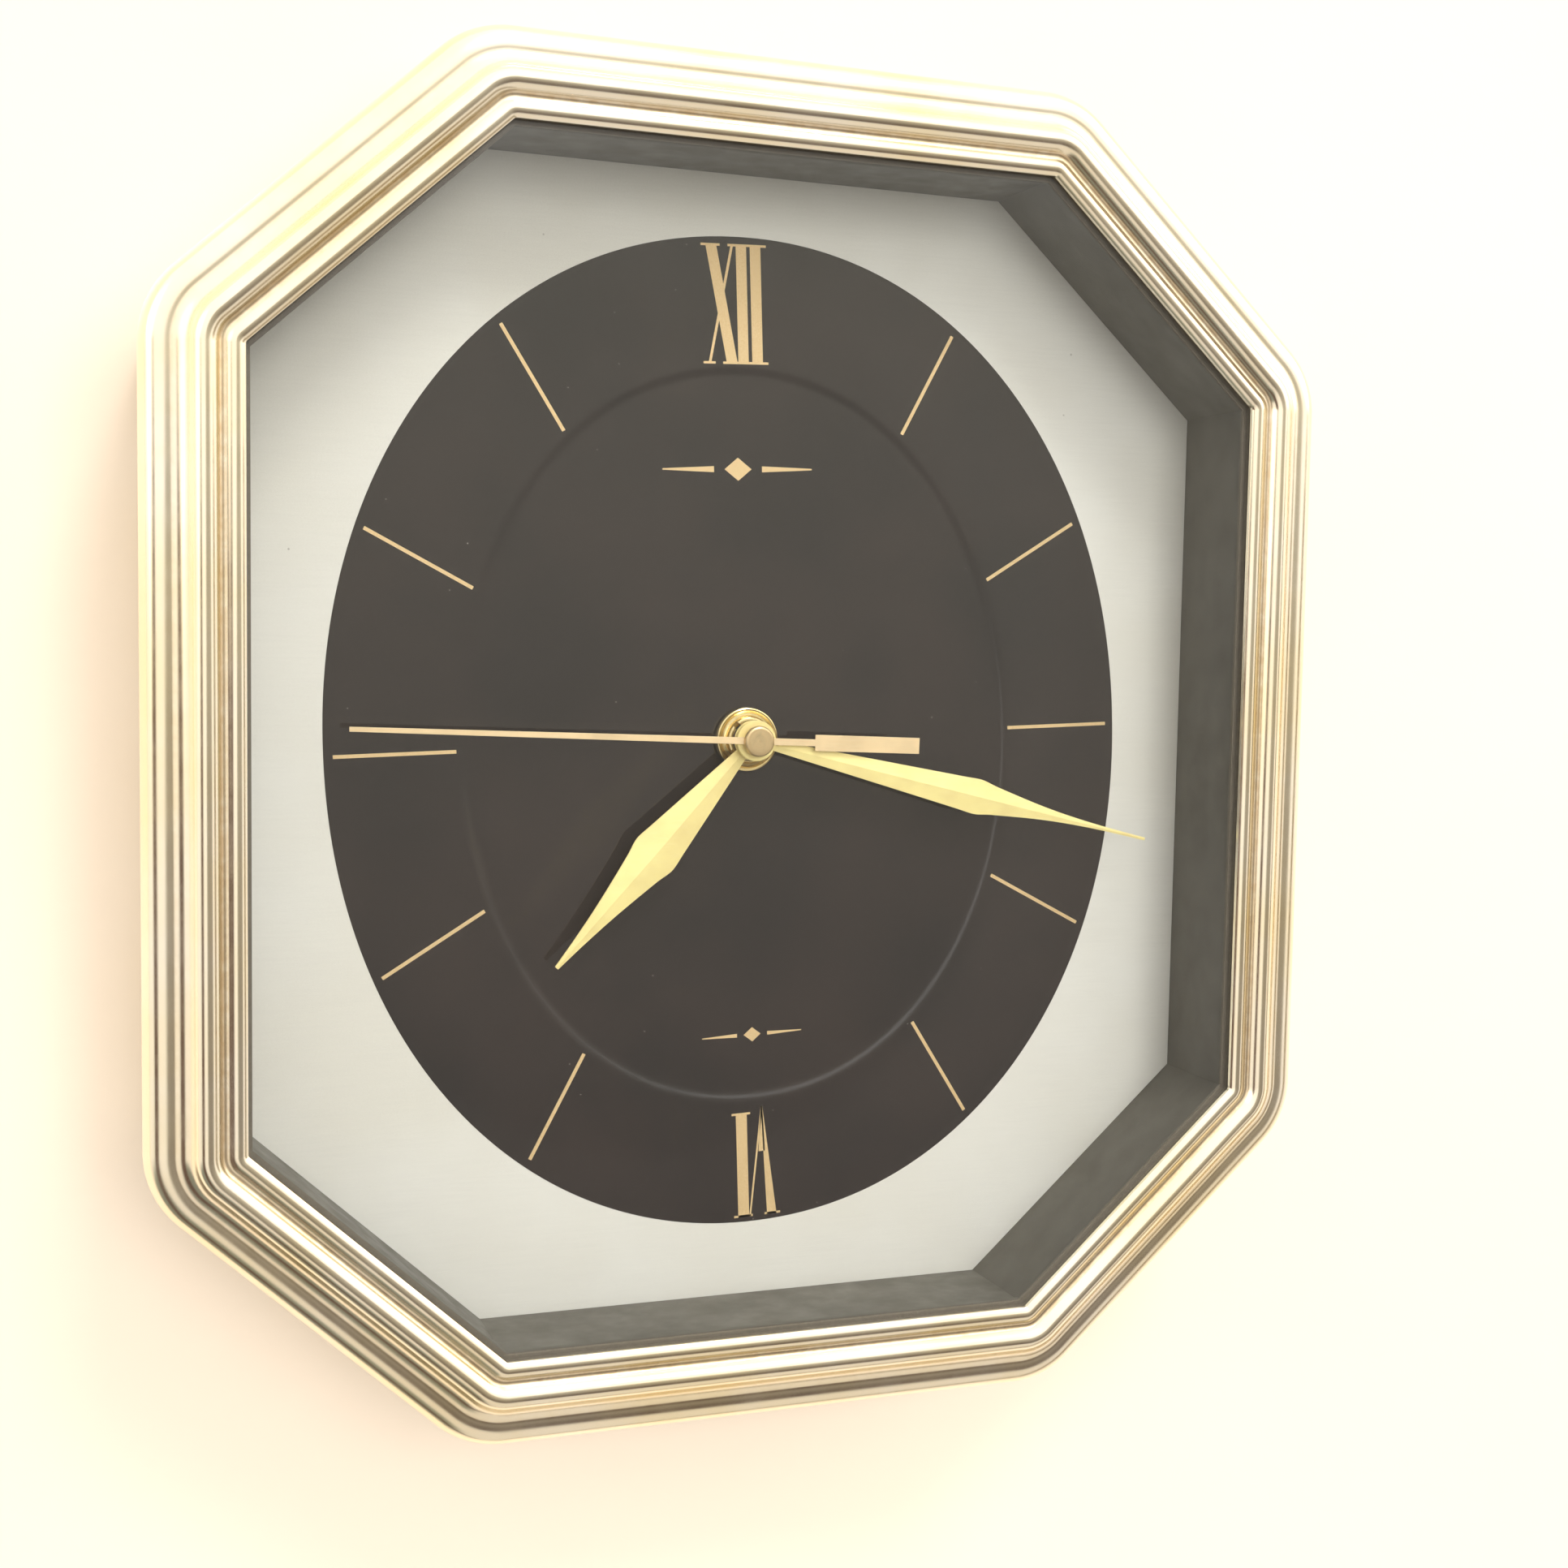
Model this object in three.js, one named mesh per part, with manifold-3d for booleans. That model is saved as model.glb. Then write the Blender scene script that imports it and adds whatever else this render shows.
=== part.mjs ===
// Octagonal quartz wall clock with a deep gold frame, built piece by piece.
// Millimetres. +X is the viewer's right, +Y goes into the wall, +Z is up. The wall is the plane y = 0,
// and the origin is where the wall screw's axis meets it when the clock hangs in its slot.
import * as THREE from 'three';
import { mergeVertices } from 'three/addons/utils/BufferGeometryUtils.js';
import Module from 'manifold-3d';

const wasm = await Module();
wasm.setup();

// ---------------------------------------------------------------- driving dimensions

// Octagonal opening, measured at the frame's inner lip
const openingHalfWidth = 97.0;
const openingHalfHeight = 110.2;
const cornerCutX = 45.0;
const cornerCutZ = 41.2;
const lipCornerRadius = 0.8;
const cornerSteps = 3;

// Depth of the well, dial face to lip
const lipHeight = 27.0;

// Frame moulding, from the lip outwards
const innerBeadWidth = 2.7;
const grooveWidth = 1.9;
const middleBeadWidth = 3.8;
const coveWidth = 3.7;
const outerBeadWidth = 5.1;
const lipThickness = 0.8;
const skirtThickness = 2.2;
const skirtDraft = 0.8;
const skirtTopHeight = 21.0;
const grooveRise = 0.4;
const grooveShoulder = 0.3;
const grooveDip = 0.25;
const middleBeadRise = 0.8;
const coveShoulder = 0.15;
const coveDip = 0.3;
const outerBeadRise = 4.0;
const outerShoulder = 0.1;
const innerBeadBulge = 0.55;
const grooveSag = 0.15;
const middleBeadBulge = 1.0;
const coveSag = 0.55;
const outerBeadBulge = 1.5;

// Inside of the moulding, below and outwards from the beads
const skirtSkin = 1.5;
const outerSkin = { out: 0.9, down: 2.2 };
const coveSkin = { out: 1.8, down: 1.0 };
const middleSkin = 1.0;
const ribClearance = 0.2;

// Fits
const seat = 0.1;
const slack = 0.3;
const running = 0.15;
const fused = 0.5;
const past = 1.0;

// Glass, its seal and the dark ring between glass and dial
const glassThickness = 2.0;
const glassOverlap = 2.6;
const locatingRib = 1.4;
const sealThickness = 0.5;
const sealShow = 0.8;
const ringWall = 2.0;
const ringDraft = 0.8;
const ringFootWidth = 7.6;
const ringFootThickness = 1.5;
const ringFootStep = 1.0;
const ringLipHeight = 0.9;
const ringLipChamfer = { out: 0.6, down: 0.2 };

// Dial plate: it sits a little high and turned in its loose seat
const dialThickness = 0.8;
const dialMargin = 5.0;
const dialRise = 1.45;
const dialTurn = THREE.MathUtils.degToRad(2.41);
const dialHoleRadius = 3.6;

// Back case
const backThickness = 2.0;
const backRimInset = 3.2;
const recessWallOffset = 6.0;
const recessWallThickness = 2.0;
const windowMargin = 2.5;
const windowCorner = 2.0;

// Screws and their bosses
const screwRadius = 1.15;
const screwHeadRadius = 2.6;
const screwHeadThickness = 1.7;
const screwHeadTop = 0.7;
const screwLength = 11.0;
const screwPoint = 1.6;
const screwPointFlat = 0.4;
const screwRecess = { length: 2.4, width: 0.7, depth: 0.8 };
const bossRadius = 2.6;
const bossInset = 5.8;
const bossRise = 3.3;

// Hanger
const hookAboveCentre = 75.0;
const hangerWidth = 44.0;
const hangerHeight = 24.0;
const hangerThickness = 1.0;
const hangerCorner = 3.0;
const hangerToWall = 2.4;
const slotHalfWidth = 2.4;
const slotLength = 9.0;
const keyholeRadius = 4.75;
const hangerTopMargin = 7.0;
const hangerScrewX = 16.0;
const hangerScrewDrop = 5.0;
const hangerScrewLength = 8.0;
const hangerBossRadius = 3.6;

// Wall bumpers
const bumperX = 38.0;
const bumperDrop = 94.0;
const bumperRadius = 4.0;
const bumperThickness = 1.4;
const bumperStep = 0.4;

// Battery, size AA
const batteryRadius = 7.15;
const batteryLength = 49.0;
const batteryNubRadius = 2.6;
const batteryNubLength = 1.3;
const contactThickness = 0.4;
const contactRoom = 1.65;
const bayClearance = 0.65;
const batteryEdge = 0.6;
const contactRadius = 5.2;
const contactCone = { base: 3.4, tip: 2.0 };
const contactButton = { base: 2.2, tip: 1.6 };

// Movement
const movementAbove = 28.0;
const movementWall = 1.2;
const wallClearance = 1.2;
const knobHeight = 2.0;
const knobShaftRadius = 1.0;
const movementCorner = 3.0;
const roomCorner = 2.0;
const basePostRadius = 1.5;
const platePostRadius = 1.1;
const plateCentreHole = 1.6;
const postInset = 2.4;
const sealWasherThickness = 0.8;
const sealWasherRadius = 9.0;
const bushRadius = 3.3;
const bushBore = 2.7;
const bushFrontHeight = 2.8;
const partitionThickness = 1.2;
const partitionDrop = 10.0;
const trainPlateDepth = 7.2;
const trainPlateThickness = 0.8;

// Central stack: hour pipe over cannon tube over seconds arbor
const hourPipeRadius = 2.5;
const cannonRadius = 1.6;
const arborRadius = 0.5;
const cannonBore = 0.75;
const pivotRadius = 0.4;
const pivotDepth = 0.6;

// Gears: teeth and the modules that set the centre distances
const rotorLeaves = 6;
const intermediateTeeth = 36;
const intermediateLeaves = 6;
const secondsTeeth = 30;
const secondsLeaves = 6;
const thirdTeeth = 45;
const thirdLeaves = 6;
const centreTeeth = 48;
const cannonLeaves = 10;
const motionTeeth = 30;
const motionLeaves = 8;
const hourTeeth = 32;
const knobLeaves = 10;
const rotorModule = 0.333;
const intermediateModule = 0.4;
const secondsModule = 0.333;
const cannonModule = 0.45;
const wheelThickness = 0.8;
const toothAddendum = 0.7;
const toothDedendum = 1.0;
const toothRootShare = 0.3;
const toothTipShare = 0.1;
const hourLevelGap = 0.5;
const levelPitch = 1.35;
const plateGap = 0.6;
const reach = 0.25;
const knobGrip = { teeth: 20, module: 0.5 };

// Directions of the off-centre arbors, seen from the front, anticlockwise from +X
const thirdDirection = THREE.MathUtils.degToRad(30);
const intermediateDirection = THREE.MathUtils.degToRad(100);
const rotorDirection = THREE.MathUtils.degToRad(45);
const motionDirection = THREE.MathUtils.degToRad(180);
const knobDirection = THREE.MathUtils.degToRad(135);

// Motor and circuit
const rotorMagnetRadius = 3.0;
const rotorMagnetLength = 2.4;
const rotorAirGap = 0.6;
const statorThickness = 0.8;
const coreWidth = 1.6;
const coilRadius = 2.2;
const coilLength = 21.0;
const coilGap = 2.2;
const coilBoreGap = 0.15;
const statorHalfLength = 15.5;
const poleHalfHeight = 4.6;
const legWidth = 4.0;
const holderInset = 2.2;
const boardLeft = 6.4;
const boardHigh = 5.8;
const boardMargin = 1.2;
const chipAt = [12.5, 0.5];
const chip = { radius: 3.0, shoulder: 2.8, top: 1.8, edge: 0.3, height: 1.2 };
const crystalX = 21.5;
const crystal = { radius: 1.0, halfLength: 3.2, edge: 0.1, shoulder: 0.2 };

// Hands: heights of their undersides above the dial
const hourHandHeight = 4.8;
const minuteHandHeight = 6.8;
const secondHandHeight = 8.0;
const handThickness = 0.45;
const secondHandThickness = 0.315;
const hourHand = { length: 58.4, widest: 9.6, widestAt: 29.0, hub: 3.9, neck: 2.4, angle: -131.7 };
const minuteHand = { length: 89.0, widest: 7.2, widestAt: 48.6, hub: 4.0, neck: 2.2, angle: -13.45 };
const secondHand = { length: 78.1, hub: 2.0, root: 1.35, tip: 0.9, angle: 178.4 };
const counterweight = { from: 11.8, to: 34.0, width: 3.2 };
const capRadius = 3.0;
const capThickness = 1.1;
const capEdge = { in: 0.5, down: 0.35 };
const capBoreShare = 0.75;

// A leaf hand's half width, as shares of its widest: out to the shoulder, and on from it to the tip
const leafHubShare = 0.8;
const leafRise = { along: 0.8, width: 0.39 };
const leafShoulder = { along: 1.12, width: 0.4 };
const leafTaper = { along: 0.5, width: 0.13 };
const leafTip = 0.3;

// Fixing nut and washer
const fixingWasherRadius = 6.0;
const fixingWasherThickness = 0.3;
const nutGap = 0.05;
const nutHeight = 2.7;
const nutFlangeRadius = 6.4;
const nutFlangeHeight = 0.9;
const nutRing = { radius: 6.0, rise: 1.2 };
const nutFoot = { radius: 4.6, rise: 1.3 };
const nutCrownRadius = 4.4;
const nutNotch = { width: 1.3, depth: 1.1 };

// ---------------------------------------------------------------- sizes that follow

// The movement is as deep as its cell needs, and the wall is as far behind the dial as the movement needs
const movementDepth = movementWall + slack + 2 * batteryRadius + 2 * seat;
const wallToDial = dialThickness + 2 * seat + sealWasherThickness + movementDepth + knobHeight + wallClearance;
const movementHalfWidth = (batteryLength + batteryNubLength) / 2 + contactRoom + movementWall;
const bayTop = -partitionDrop - partitionThickness;
const bayBottom = bayTop - 2 * (batteryRadius + bayClearance);
const movementBelow = movementWall - bayBottom;
// The coil fills the room between its stator and the movement's cover
const coverFront = movementDepth - movementWall - seat;
const statorDepth = coverFront - seat - coilRadius - statorThickness / 2;

// ---------------------------------------------------------------- materials

const finish = (color, roughness, metalness) => new THREE.MeshStandardMaterial({ color, roughness, metalness });
const gold = finish(0xe6cf9a, 0.12, 1.0);
const brass = finish(0xd9b45f, 0.25, 1.0);
const handGold = finish(0xf0cf78, 0.3, 1.0);
const silver = finish(0xcdd0d0, 0.45, 0.4);
const anthracite = finish(0x3c3833, 0.8, 0.0);
const rubber = finish(0x1c1b1a, 0.9, 0.0);
const brownPlastic = finish(0x2b2724, 0.6, 0.0);
const steel = finish(0xb9bcbe, 0.35, 1.0);
const blackPlastic = finish(0x17171a, 0.5, 0.0);
const whitePlastic = finish(0xe9e7de, 0.5, 0.0);
const copper = finish(0xb4683a, 0.4, 1.0);
const board = finish(0x2d5b34, 0.6, 0.0);
const batteryJacket = finish(0x39424c, 0.35, 0.2);
const glass = new THREE.MeshStandardMaterial({
  color: 0xf2f6f4, roughness: 0.02, transparent: true, opacity: 0.2,
});

// ---------------------------------------------------------------- building blocks

/** The y of a height above the dial face. */
const atHeight = (height) => -(wallToDial + height);

/** A closed geometry as a solid, with its faces turned outwards. */
function solidOf(geometry) {
  const bare = geometry.clone();
  bare.deleteAttribute('normal');
  bare.deleteAttribute('uv');
  const merged = mergeVertices(bare, 1e-4);
  const vertProperties = new Float32Array(merged.attributes.position.array);
  let triVerts = new Uint32Array(merged.index.array);
  triVerts = withoutSlivers(triVerts);
  if (signedVolume(vertProperties, triVerts) < 0) {
    triVerts.reverse();
  }
  return new wasm.Manifold(new wasm.Mesh({ numProp: 3, vertProperties, triVerts }));
}

/** Triangles whose three corners are all different. */
function withoutSlivers(triVerts) {
  const kept = [];
  for (let i = 0; i < triVerts.length; i += 3) {
    const [a, b, c] = triVerts.slice(i, i + 3);
    if (a !== b && b !== c && c !== a) kept.push(a, b, c);
  }
  return new Uint32Array(kept);
}

function signedVolume(positions, triVerts) {
  const corner = (k) => new THREE.Vector3().fromArray(positions, 3 * triVerts[k]);
  let total = 0;
  for (let i = 0; i < triVerts.length; i += 3) {
    total += corner(i).dot(corner(i + 1).cross(corner(i + 2)));
  }
  return total / 6;
}

function geometryOf(solid) {
  const { vertProperties, triVerts } = solid.getMesh();
  const geometry = new THREE.BufferGeometry();
  geometry.setAttribute('position', new THREE.BufferAttribute(vertProperties, 3));
  geometry.setIndex(new THREE.BufferAttribute(triVerts, 1));
  geometry.computeVertexNormals();
  return geometry;
}

const union = (...solids) => solids.reduce((whole, next) => whole.add(next));
const cut = (whole, ...tools) => tools.reduce((left, tool) => left.subtract(tool), whole);

function addPiece(parent, name, solid, material) {
  const mesh = new THREE.Mesh(geometryOf(solid), material);
  mesh.name = name;
  parent.add(mesh);
  return mesh;
}

/** A round bar along Y. */
function rod(radius, from, to, sides = 16) {
  const geometry = new THREE.CylinderGeometry(radius, radius, to - from, sides);
  geometry.translate(0, (from + to) / 2, 0);
  return solidOf(geometry);
}

/** A solid of revolution about Y from [radius, y] points. */
function turned(profile, sides = 16) {
  const points = profile.map(([radius, y]) => new THREE.Vector2(radius, y));
  return solidOf(new THREE.LatheGeometry(points, sides));
}

/** A ring of rectangular section about Y. */
const washer = (inner, outer, from, to, sides = 16) =>
  turned([[inner, from], [outer, from], [outer, to], [inner, to], [inner, from]], sides);

const block = (width, from, to, height) => {
  const geometry = new THREE.BoxGeometry(width, to - from, height);
  geometry.translate(0, (from + to) / 2, 0);
  return solidOf(geometry);
};

/** An outline in X and Z, extruded along Y. */
function plate(outline, from, to, holes = []) {
  const shape = new THREE.Shape(outline.map(([x, z]) => new THREE.Vector2(x, z)));
  for (const hole of holes) {
    shape.holes.push(new THREE.Path(hole.map(([x, z]) => new THREE.Vector2(x, z))));
  }
  const geometry = new THREE.ExtrudeGeometry(shape, { depth: to - from, bevelEnabled: false });
  geometry.rotateX(Math.PI / 2);
  geometry.translate(0, to, 0);
  return solidOf(geometry);
}

const move = (solid, x, z, y = 0) => solid.translate(x, y, z);
const polar = (radius, angle) => [radius * Math.cos(angle), radius * Math.sin(angle)];
const plus = ([ax, az], [bx, bz]) => [ax + bx, az + bz];

function roundedRectangle(left, right, bottom, top, radius, steps = 3) {
  const corners = [[right - radius, top - radius], [left + radius, top - radius],
    [left + radius, bottom + radius], [right - radius, bottom + radius]];
  return corners.flatMap((corner, quarter) =>
    Array.from({ length: steps + 1 }, (_, k) =>
      plus(corner, polar(radius, (quarter + k / steps) * Math.PI / 2))));
}

/** Points of a shallow arc between two points; a positive rise bulges to the left of the way from a to b. */
function arc([ax, ay], [bx, by], rise, steps) {
  const chord = Math.hypot(bx - ax, by - ay);
  return Array.from({ length: steps + 1 }, (_, k) => {
    const t = k / steps;
    const lift = 4 * rise * t * (1 - t) / chord;
    return [ax + (bx - ax) * t - (by - ay) * lift, ay + (by - ay) * t + (bx - ax) * lift];
  });
}

// ---------------------------------------------------------------- the octagon

const diagonalNormal = Math.atan2(cornerCutX, cornerCutZ);
const sideNormals = [0, diagonalNormal, Math.PI / 2, Math.PI - diagonalNormal, Math.PI,
  Math.PI + diagonalNormal, 1.5 * Math.PI, 2 * Math.PI - diagonalNormal, 2 * Math.PI];

const openingCorners = [];
for (const [sx, sz] of [[1, 1], [-1, 1], [-1, -1], [1, -1]]) {
  const onSide = [sx * openingHalfWidth, sz * (openingHalfHeight - cornerCutZ)];
  const onTop = [sx * (openingHalfWidth - cornerCutX), sz * openingHalfHeight];
  openingCorners.push(...(sx === sz ? [onSide, onTop] : [onTop, onSide]));
}

/** The octagon grown by an offset, with its corners kept sharp. */
const sharpOctagon = (offset) => openingCorners.map((corner, i) => {
  const middle = (sideNormals[i] + sideNormals[i + 1]) / 2;
  const half = (sideNormals[i + 1] - sideNormals[i]) / 2;
  return plus(corner, polar(offset / Math.cos(half), middle));
});

/** The octagon grown by an offset, with round corners that grow with it. */
const roundOctagon = (offset) => sharpOctagon(-lipCornerRadius).flatMap((corner, i) =>
  Array.from({ length: cornerSteps + 1 }, (_, k) => {
    const angle = sideNormals[i] + (sideNormals[i + 1] - sideNormals[i]) * k / cornerSteps;
    return plus(corner, polar(offset + lipCornerRadius, angle));
  }));

/** The middle of each side, moved out by an offset. */
const sideMiddles = (offset) => openingCorners.map((corner, i) => {
  const before = openingCorners[(i + 7) % 8];
  const middle = [(corner[0] + before[0]) / 2, (corner[1] + before[1]) / 2];
  return plus(middle, polar(offset, sideNormals[i]));
});

/** A closed [offset, height] profile swept round one of the octagons. */
function swept(profile, octagon) {
  const rings = profile.map(([offset, height]) =>
    octagon(offset).map(([x, z]) => [x, atHeight(height), z]));
  const count = rings[0].length;
  const index = [];
  for (let i = 0; i < rings.length; i++) {
    const next = (i + 1) % rings.length;
    for (let k = 0; k < count; k++) {
      const after = (k + 1) % count;
      const [a, b, c, d] = [i * count + k, i * count + after, next * count + after, next * count + k];
      index.push(a, b, c, a, c, d);
    }
  }
  const geometry = new THREE.BufferGeometry();
  geometry.setAttribute('position', new THREE.Float32BufferAttribute(rings.flat(2), 3));
  geometry.setIndex(index);
  return solidOf(geometry);
}

// ---------------------------------------------------------------- frame, glass and case

const frameWidth = innerBeadWidth + grooveWidth + middleBeadWidth + coveWidth + outerBeadWidth;
const glassFront = lipHeight - lipThickness - seat;
const glassBack = glassFront - glassThickness;
const sealFront = glassBack - seat;
const sealBack = sealFront - sealThickness;
const ringTop = sealBack - seat;
const dialBack = -dialThickness;
const backFront = dialBack - seat;
const backRear = backFront - backThickness;
const bossOffset = frameWidth - bossInset;

function frameProfile() {
  const grooveStart = innerBeadWidth;
  const middleStart = grooveStart + grooveWidth;
  const coveStart = middleStart + middleBeadWidth;
  const outerStart = coveStart + coveWidth;
  const grooveHeight = lipHeight + grooveRise;
  const middleHeight = lipHeight + middleBeadRise;
  const outerHeight = skirtTopHeight + outerBeadRise;
  const rebate = glassOverlap + slack;
  const underBead = lipHeight - middleSkin;
  const grooveFloor = grooveHeight - grooveDip;
  return [
    ...arc([0, lipHeight], [grooveStart, grooveHeight], innerBeadBulge, 2),
    ...arc([grooveStart + grooveShoulder, grooveFloor], [middleStart - grooveShoulder, grooveFloor],
      -grooveSag, 1),
    ...arc([middleStart, middleHeight], [coveStart, middleHeight], middleBeadBulge, 4),
    ...arc([coveStart + coveShoulder, middleHeight - coveDip], [outerStart, outerHeight], -coveSag, 2),
    ...arc([outerStart + outerShoulder, outerHeight + outerShoulder], [frameWidth, skirtTopHeight],
      outerBeadBulge, 3),
    [frameWidth - skirtDraft, -wallToDial],
    [frameWidth - skirtDraft - skirtThickness, -wallToDial],
    [frameWidth - skirtThickness, skirtTopHeight - skirtSkin],
    [outerStart + outerSkin.out, outerHeight - outerSkin.down],
    [coveStart + coveSkin.out, outerHeight - coveSkin.down],
    [coveStart, underBead],
    [rebate + locatingRib, underBead],
    [rebate + locatingRib, ringTop + ribClearance],
    [rebate, ringTop + ribClearance],
    [rebate, lipHeight - lipThickness],
    [0, lipHeight - lipThickness],
  ];
}

function frontBezel() {
  const bossFront = skirtTopHeight + bossRise;
  const holeFront = screwLength + screwHeadThickness;
  let bezel = swept(frameProfile(), roundOctagon);
  for (const [x, z] of sideMiddles(bossOffset)) {
    const boss = rod(bossRadius, atHeight(bossFront), atHeight(dialBack), 8);
    bezel = bezel.add(move(boss, x, z));
  }
  for (const [x, z] of sideMiddles(bossOffset)) {
    const hole = rod(screwRadius + running, atHeight(holeFront), atHeight(dialBack - past), 8);
    bezel = bezel.subtract(move(hole, x, z));
  }
  return bezel;
}

function sightRing() {
  const foot = ringDraft + ringFootWidth;
  return swept([
    [-sealShow, ringTop],
    [-sealShow, ringTop - ringLipHeight],
    [-sealShow + ringLipChamfer.out, ringTop - ringLipHeight - ringLipChamfer.down],
    [ringDraft, seat],
    [foot, seat],
    [foot, seat + ringFootThickness],
    [ringDraft + ringWall, seat + ringFootThickness],
    [ringDraft + ringWall, seat + ringFootThickness + ringFootStep],
    [glassOverlap - slack, ringTop],
  ], sharpOctagon);
}

const glassSeal = () => swept([
  [-sealShow, sealBack], [-sealShow, sealFront], [glassOverlap - slack, sealFront],
  [glassOverlap - slack, sealBack],
], sharpOctagon);

const frontGlass = () => plate(roundOctagon(glassOverlap), atHeight(glassFront), atHeight(glassBack));

function backCase() {
  const window = roundedRectangle(-movementHalfWidth - windowMargin, movementHalfWidth + windowMargin,
    dialRise - movementBelow - windowMargin, dialRise + movementAbove + windowMargin, windowCorner);
  const rimOffset = frameWidth - backRimInset;
  const wallRear = atHeight(-wallToDial) - 2 * seat;
  const panel = plate(roundOctagon(rimOffset), atHeight(backFront), atHeight(backRear),
    [window.reverse()]);
  const wall = plate(roundOctagon(recessWallOffset + recessWallThickness), atHeight(backRear + fused), wallRear,
    [roundOctagon(recessWallOffset).reverse()]);
  let shell = panel.add(wall);
  for (const side of [-1, 1]) {
    const hangerBoss = rod(hangerBossRadius, atHeight(backRear + fused), hangerFront - seat, 10);
    const screwHole = rod(screwRadius + running, hangerFront - hangerScrewLength - past, 0, 8);
    const bumperPost = rod(bumperRadius, atHeight(backRear + fused), -bumperThickness - seat, 10);
    const screwZ = hookAboveCentre - hangerScrewDrop;
    shell = union(shell, move(hangerBoss, side * hangerScrewX, screwZ),
      move(bumperPost, side * bumperX, -bumperDrop));
    shell = shell.subtract(move(screwHole, side * hangerScrewX, screwZ));
  }
  for (const [x, z] of sideMiddles(bossOffset)) {
    const hole = rod(screwRadius + slack, atHeight(backFront + past), atHeight(backRear - past), 6);
    shell = shell.subtract(move(hole, x, z));
  }
  return shell;
}

/** A pan-head screw with a cross recess. Its head's underside is at y = 0 and its shank points to -Y. */
function panHeadScrew(length) {
  const head = [[screwRadius, 0], [screwHeadRadius, 0], [screwHeadRadius, screwHeadThickness / 2],
    [screwHeadRadius * screwHeadTop, screwHeadThickness], [0, screwHeadThickness]];
  const shank = [[0, -length], [screwRadius / 2, -length + screwPointFlat],
    [screwRadius, -length + screwPoint]];
  const { length: recessLength, width, depth } = screwRecess;
  const from = screwHeadThickness - depth;
  const to = screwHeadThickness + past;
  return cut(turned([...shank, ...head], 8), block(width, from, to, recessLength),
    block(recessLength, from, to, width));
}

const hangerRear = -hangerToWall;
const hangerFront = hangerRear - hangerThickness;

/** Steel strip with a keyhole: the slot's round top is centred on x = 0, z = 0. */
function hangerPlate() {
  const top = hangerTopMargin;
  const outline = roundedRectangle(-hangerWidth / 2, hangerWidth / 2, top - hangerHeight, top, hangerCorner);
  const strip = plate(outline, hangerFront, hangerRear);
  const from = hangerFront - past;
  const to = hangerRear + past;
  const slotTop = rod(slotHalfWidth, from, to, 16);
  const slot = move(block(2 * slotHalfWidth, from, to, slotLength), 0, -slotLength / 2);
  const round = move(rod(keyholeRadius, from, to, 20), 0, -slotLength);
  const screwHoles = [-1, 1].map((side) =>
    move(rod(screwRadius + slack, from, to, 8), side * hangerScrewX, -hangerScrewDrop));
  return cut(strip, slotTop, slot, round, ...screwHoles);
}

// ---------------------------------------------------------------- gears

/** Tapered teeth, slimmer than the spaces they run in, so that a pair turns freely. */
function gearOutline(teeth, module, phase) {
  const pitch = teeth * module / 2;
  const tip = pitch + toothAddendum * module;
  const root = pitch - toothDedendum * module;
  const step = 2 * Math.PI / teeth;
  const corners = [[root, -toothRootShare], [tip, -toothTipShare], [tip, toothTipShare],
    [root, toothRootShare]];
  return Array.from({ length: teeth }, (_, i) => i).flatMap((i) =>
    corners.map(([radius, share]) => polar(radius, phase + (i + share) * step)));
}

const gear = (teeth, module, phase, from, to) => plate(gearOutline(teeth, module, phase), from, to);

/** The phase that puts gear B's space where gear A's tooth reaches it. */
const meshPhase = (phaseA, teethA, directionToB, teethB) =>
  directionToB + Math.PI - (phaseA - directionToB) * teethA / teethB + Math.PI / teethB;

// Centre distances. Two pairs share an arbor with the centre, so their modules follow from it.
const rotorDistance = (rotorLeaves + intermediateTeeth) * rotorModule / 2;
const intermediateDistance = (intermediateLeaves + secondsTeeth) * intermediateModule / 2;
const thirdDistance = (secondsLeaves + thirdTeeth) * secondsModule / 2;
const centreModule = 2 * thirdDistance / (thirdLeaves + centreTeeth);
const motionDistance = (cannonLeaves + motionTeeth) * cannonModule / 2;
const hourModule = 2 * motionDistance / (motionLeaves + hourTeeth);
const knobDistance = (motionTeeth + knobLeaves) * cannonModule / 2;

const intermediateAt = polar(intermediateDistance, intermediateDirection);
const rotorAt = plus(intermediateAt, polar(rotorDistance, rotorDirection));
const thirdAt = polar(thirdDistance, thirdDirection);
const motionAt = polar(motionDistance, motionDirection);
const knobAt = plus(motionAt, polar(knobDistance, knobDirection));

// Depths behind the movement's front face at which each pair meshes
const hourLevel = movementWall + hourLevelGap;
const motionLevel = hourLevel + levelPitch;
const centreLevel = motionLevel + levelPitch;
const thirdLevel = centreLevel + levelPitch;
const trainPlateRear = trainPlateDepth + trainPlateThickness;
const secondsLevel = trainPlateRear + plateGap;
const intermediateLevel = secondsLevel + levelPitch;
const gearRoomFront = movementWall;

const frontPivot = gearRoomFront - pivotDepth + seat;
const platePivotRear = trainPlateRear - seat;
const platePivotFront = trainPlateDepth + seat;
const coverPivot = coverFront + pivotDepth - seat;

const movementFace = atHeight(dialBack - seat - sealWasherThickness - seat);
/** Depth behind the movement's front face of a height above the dial. */
const fromFace = (height) => atHeight(height) - movementFace;
const beyondHands = fromFace(sealFront);

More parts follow.
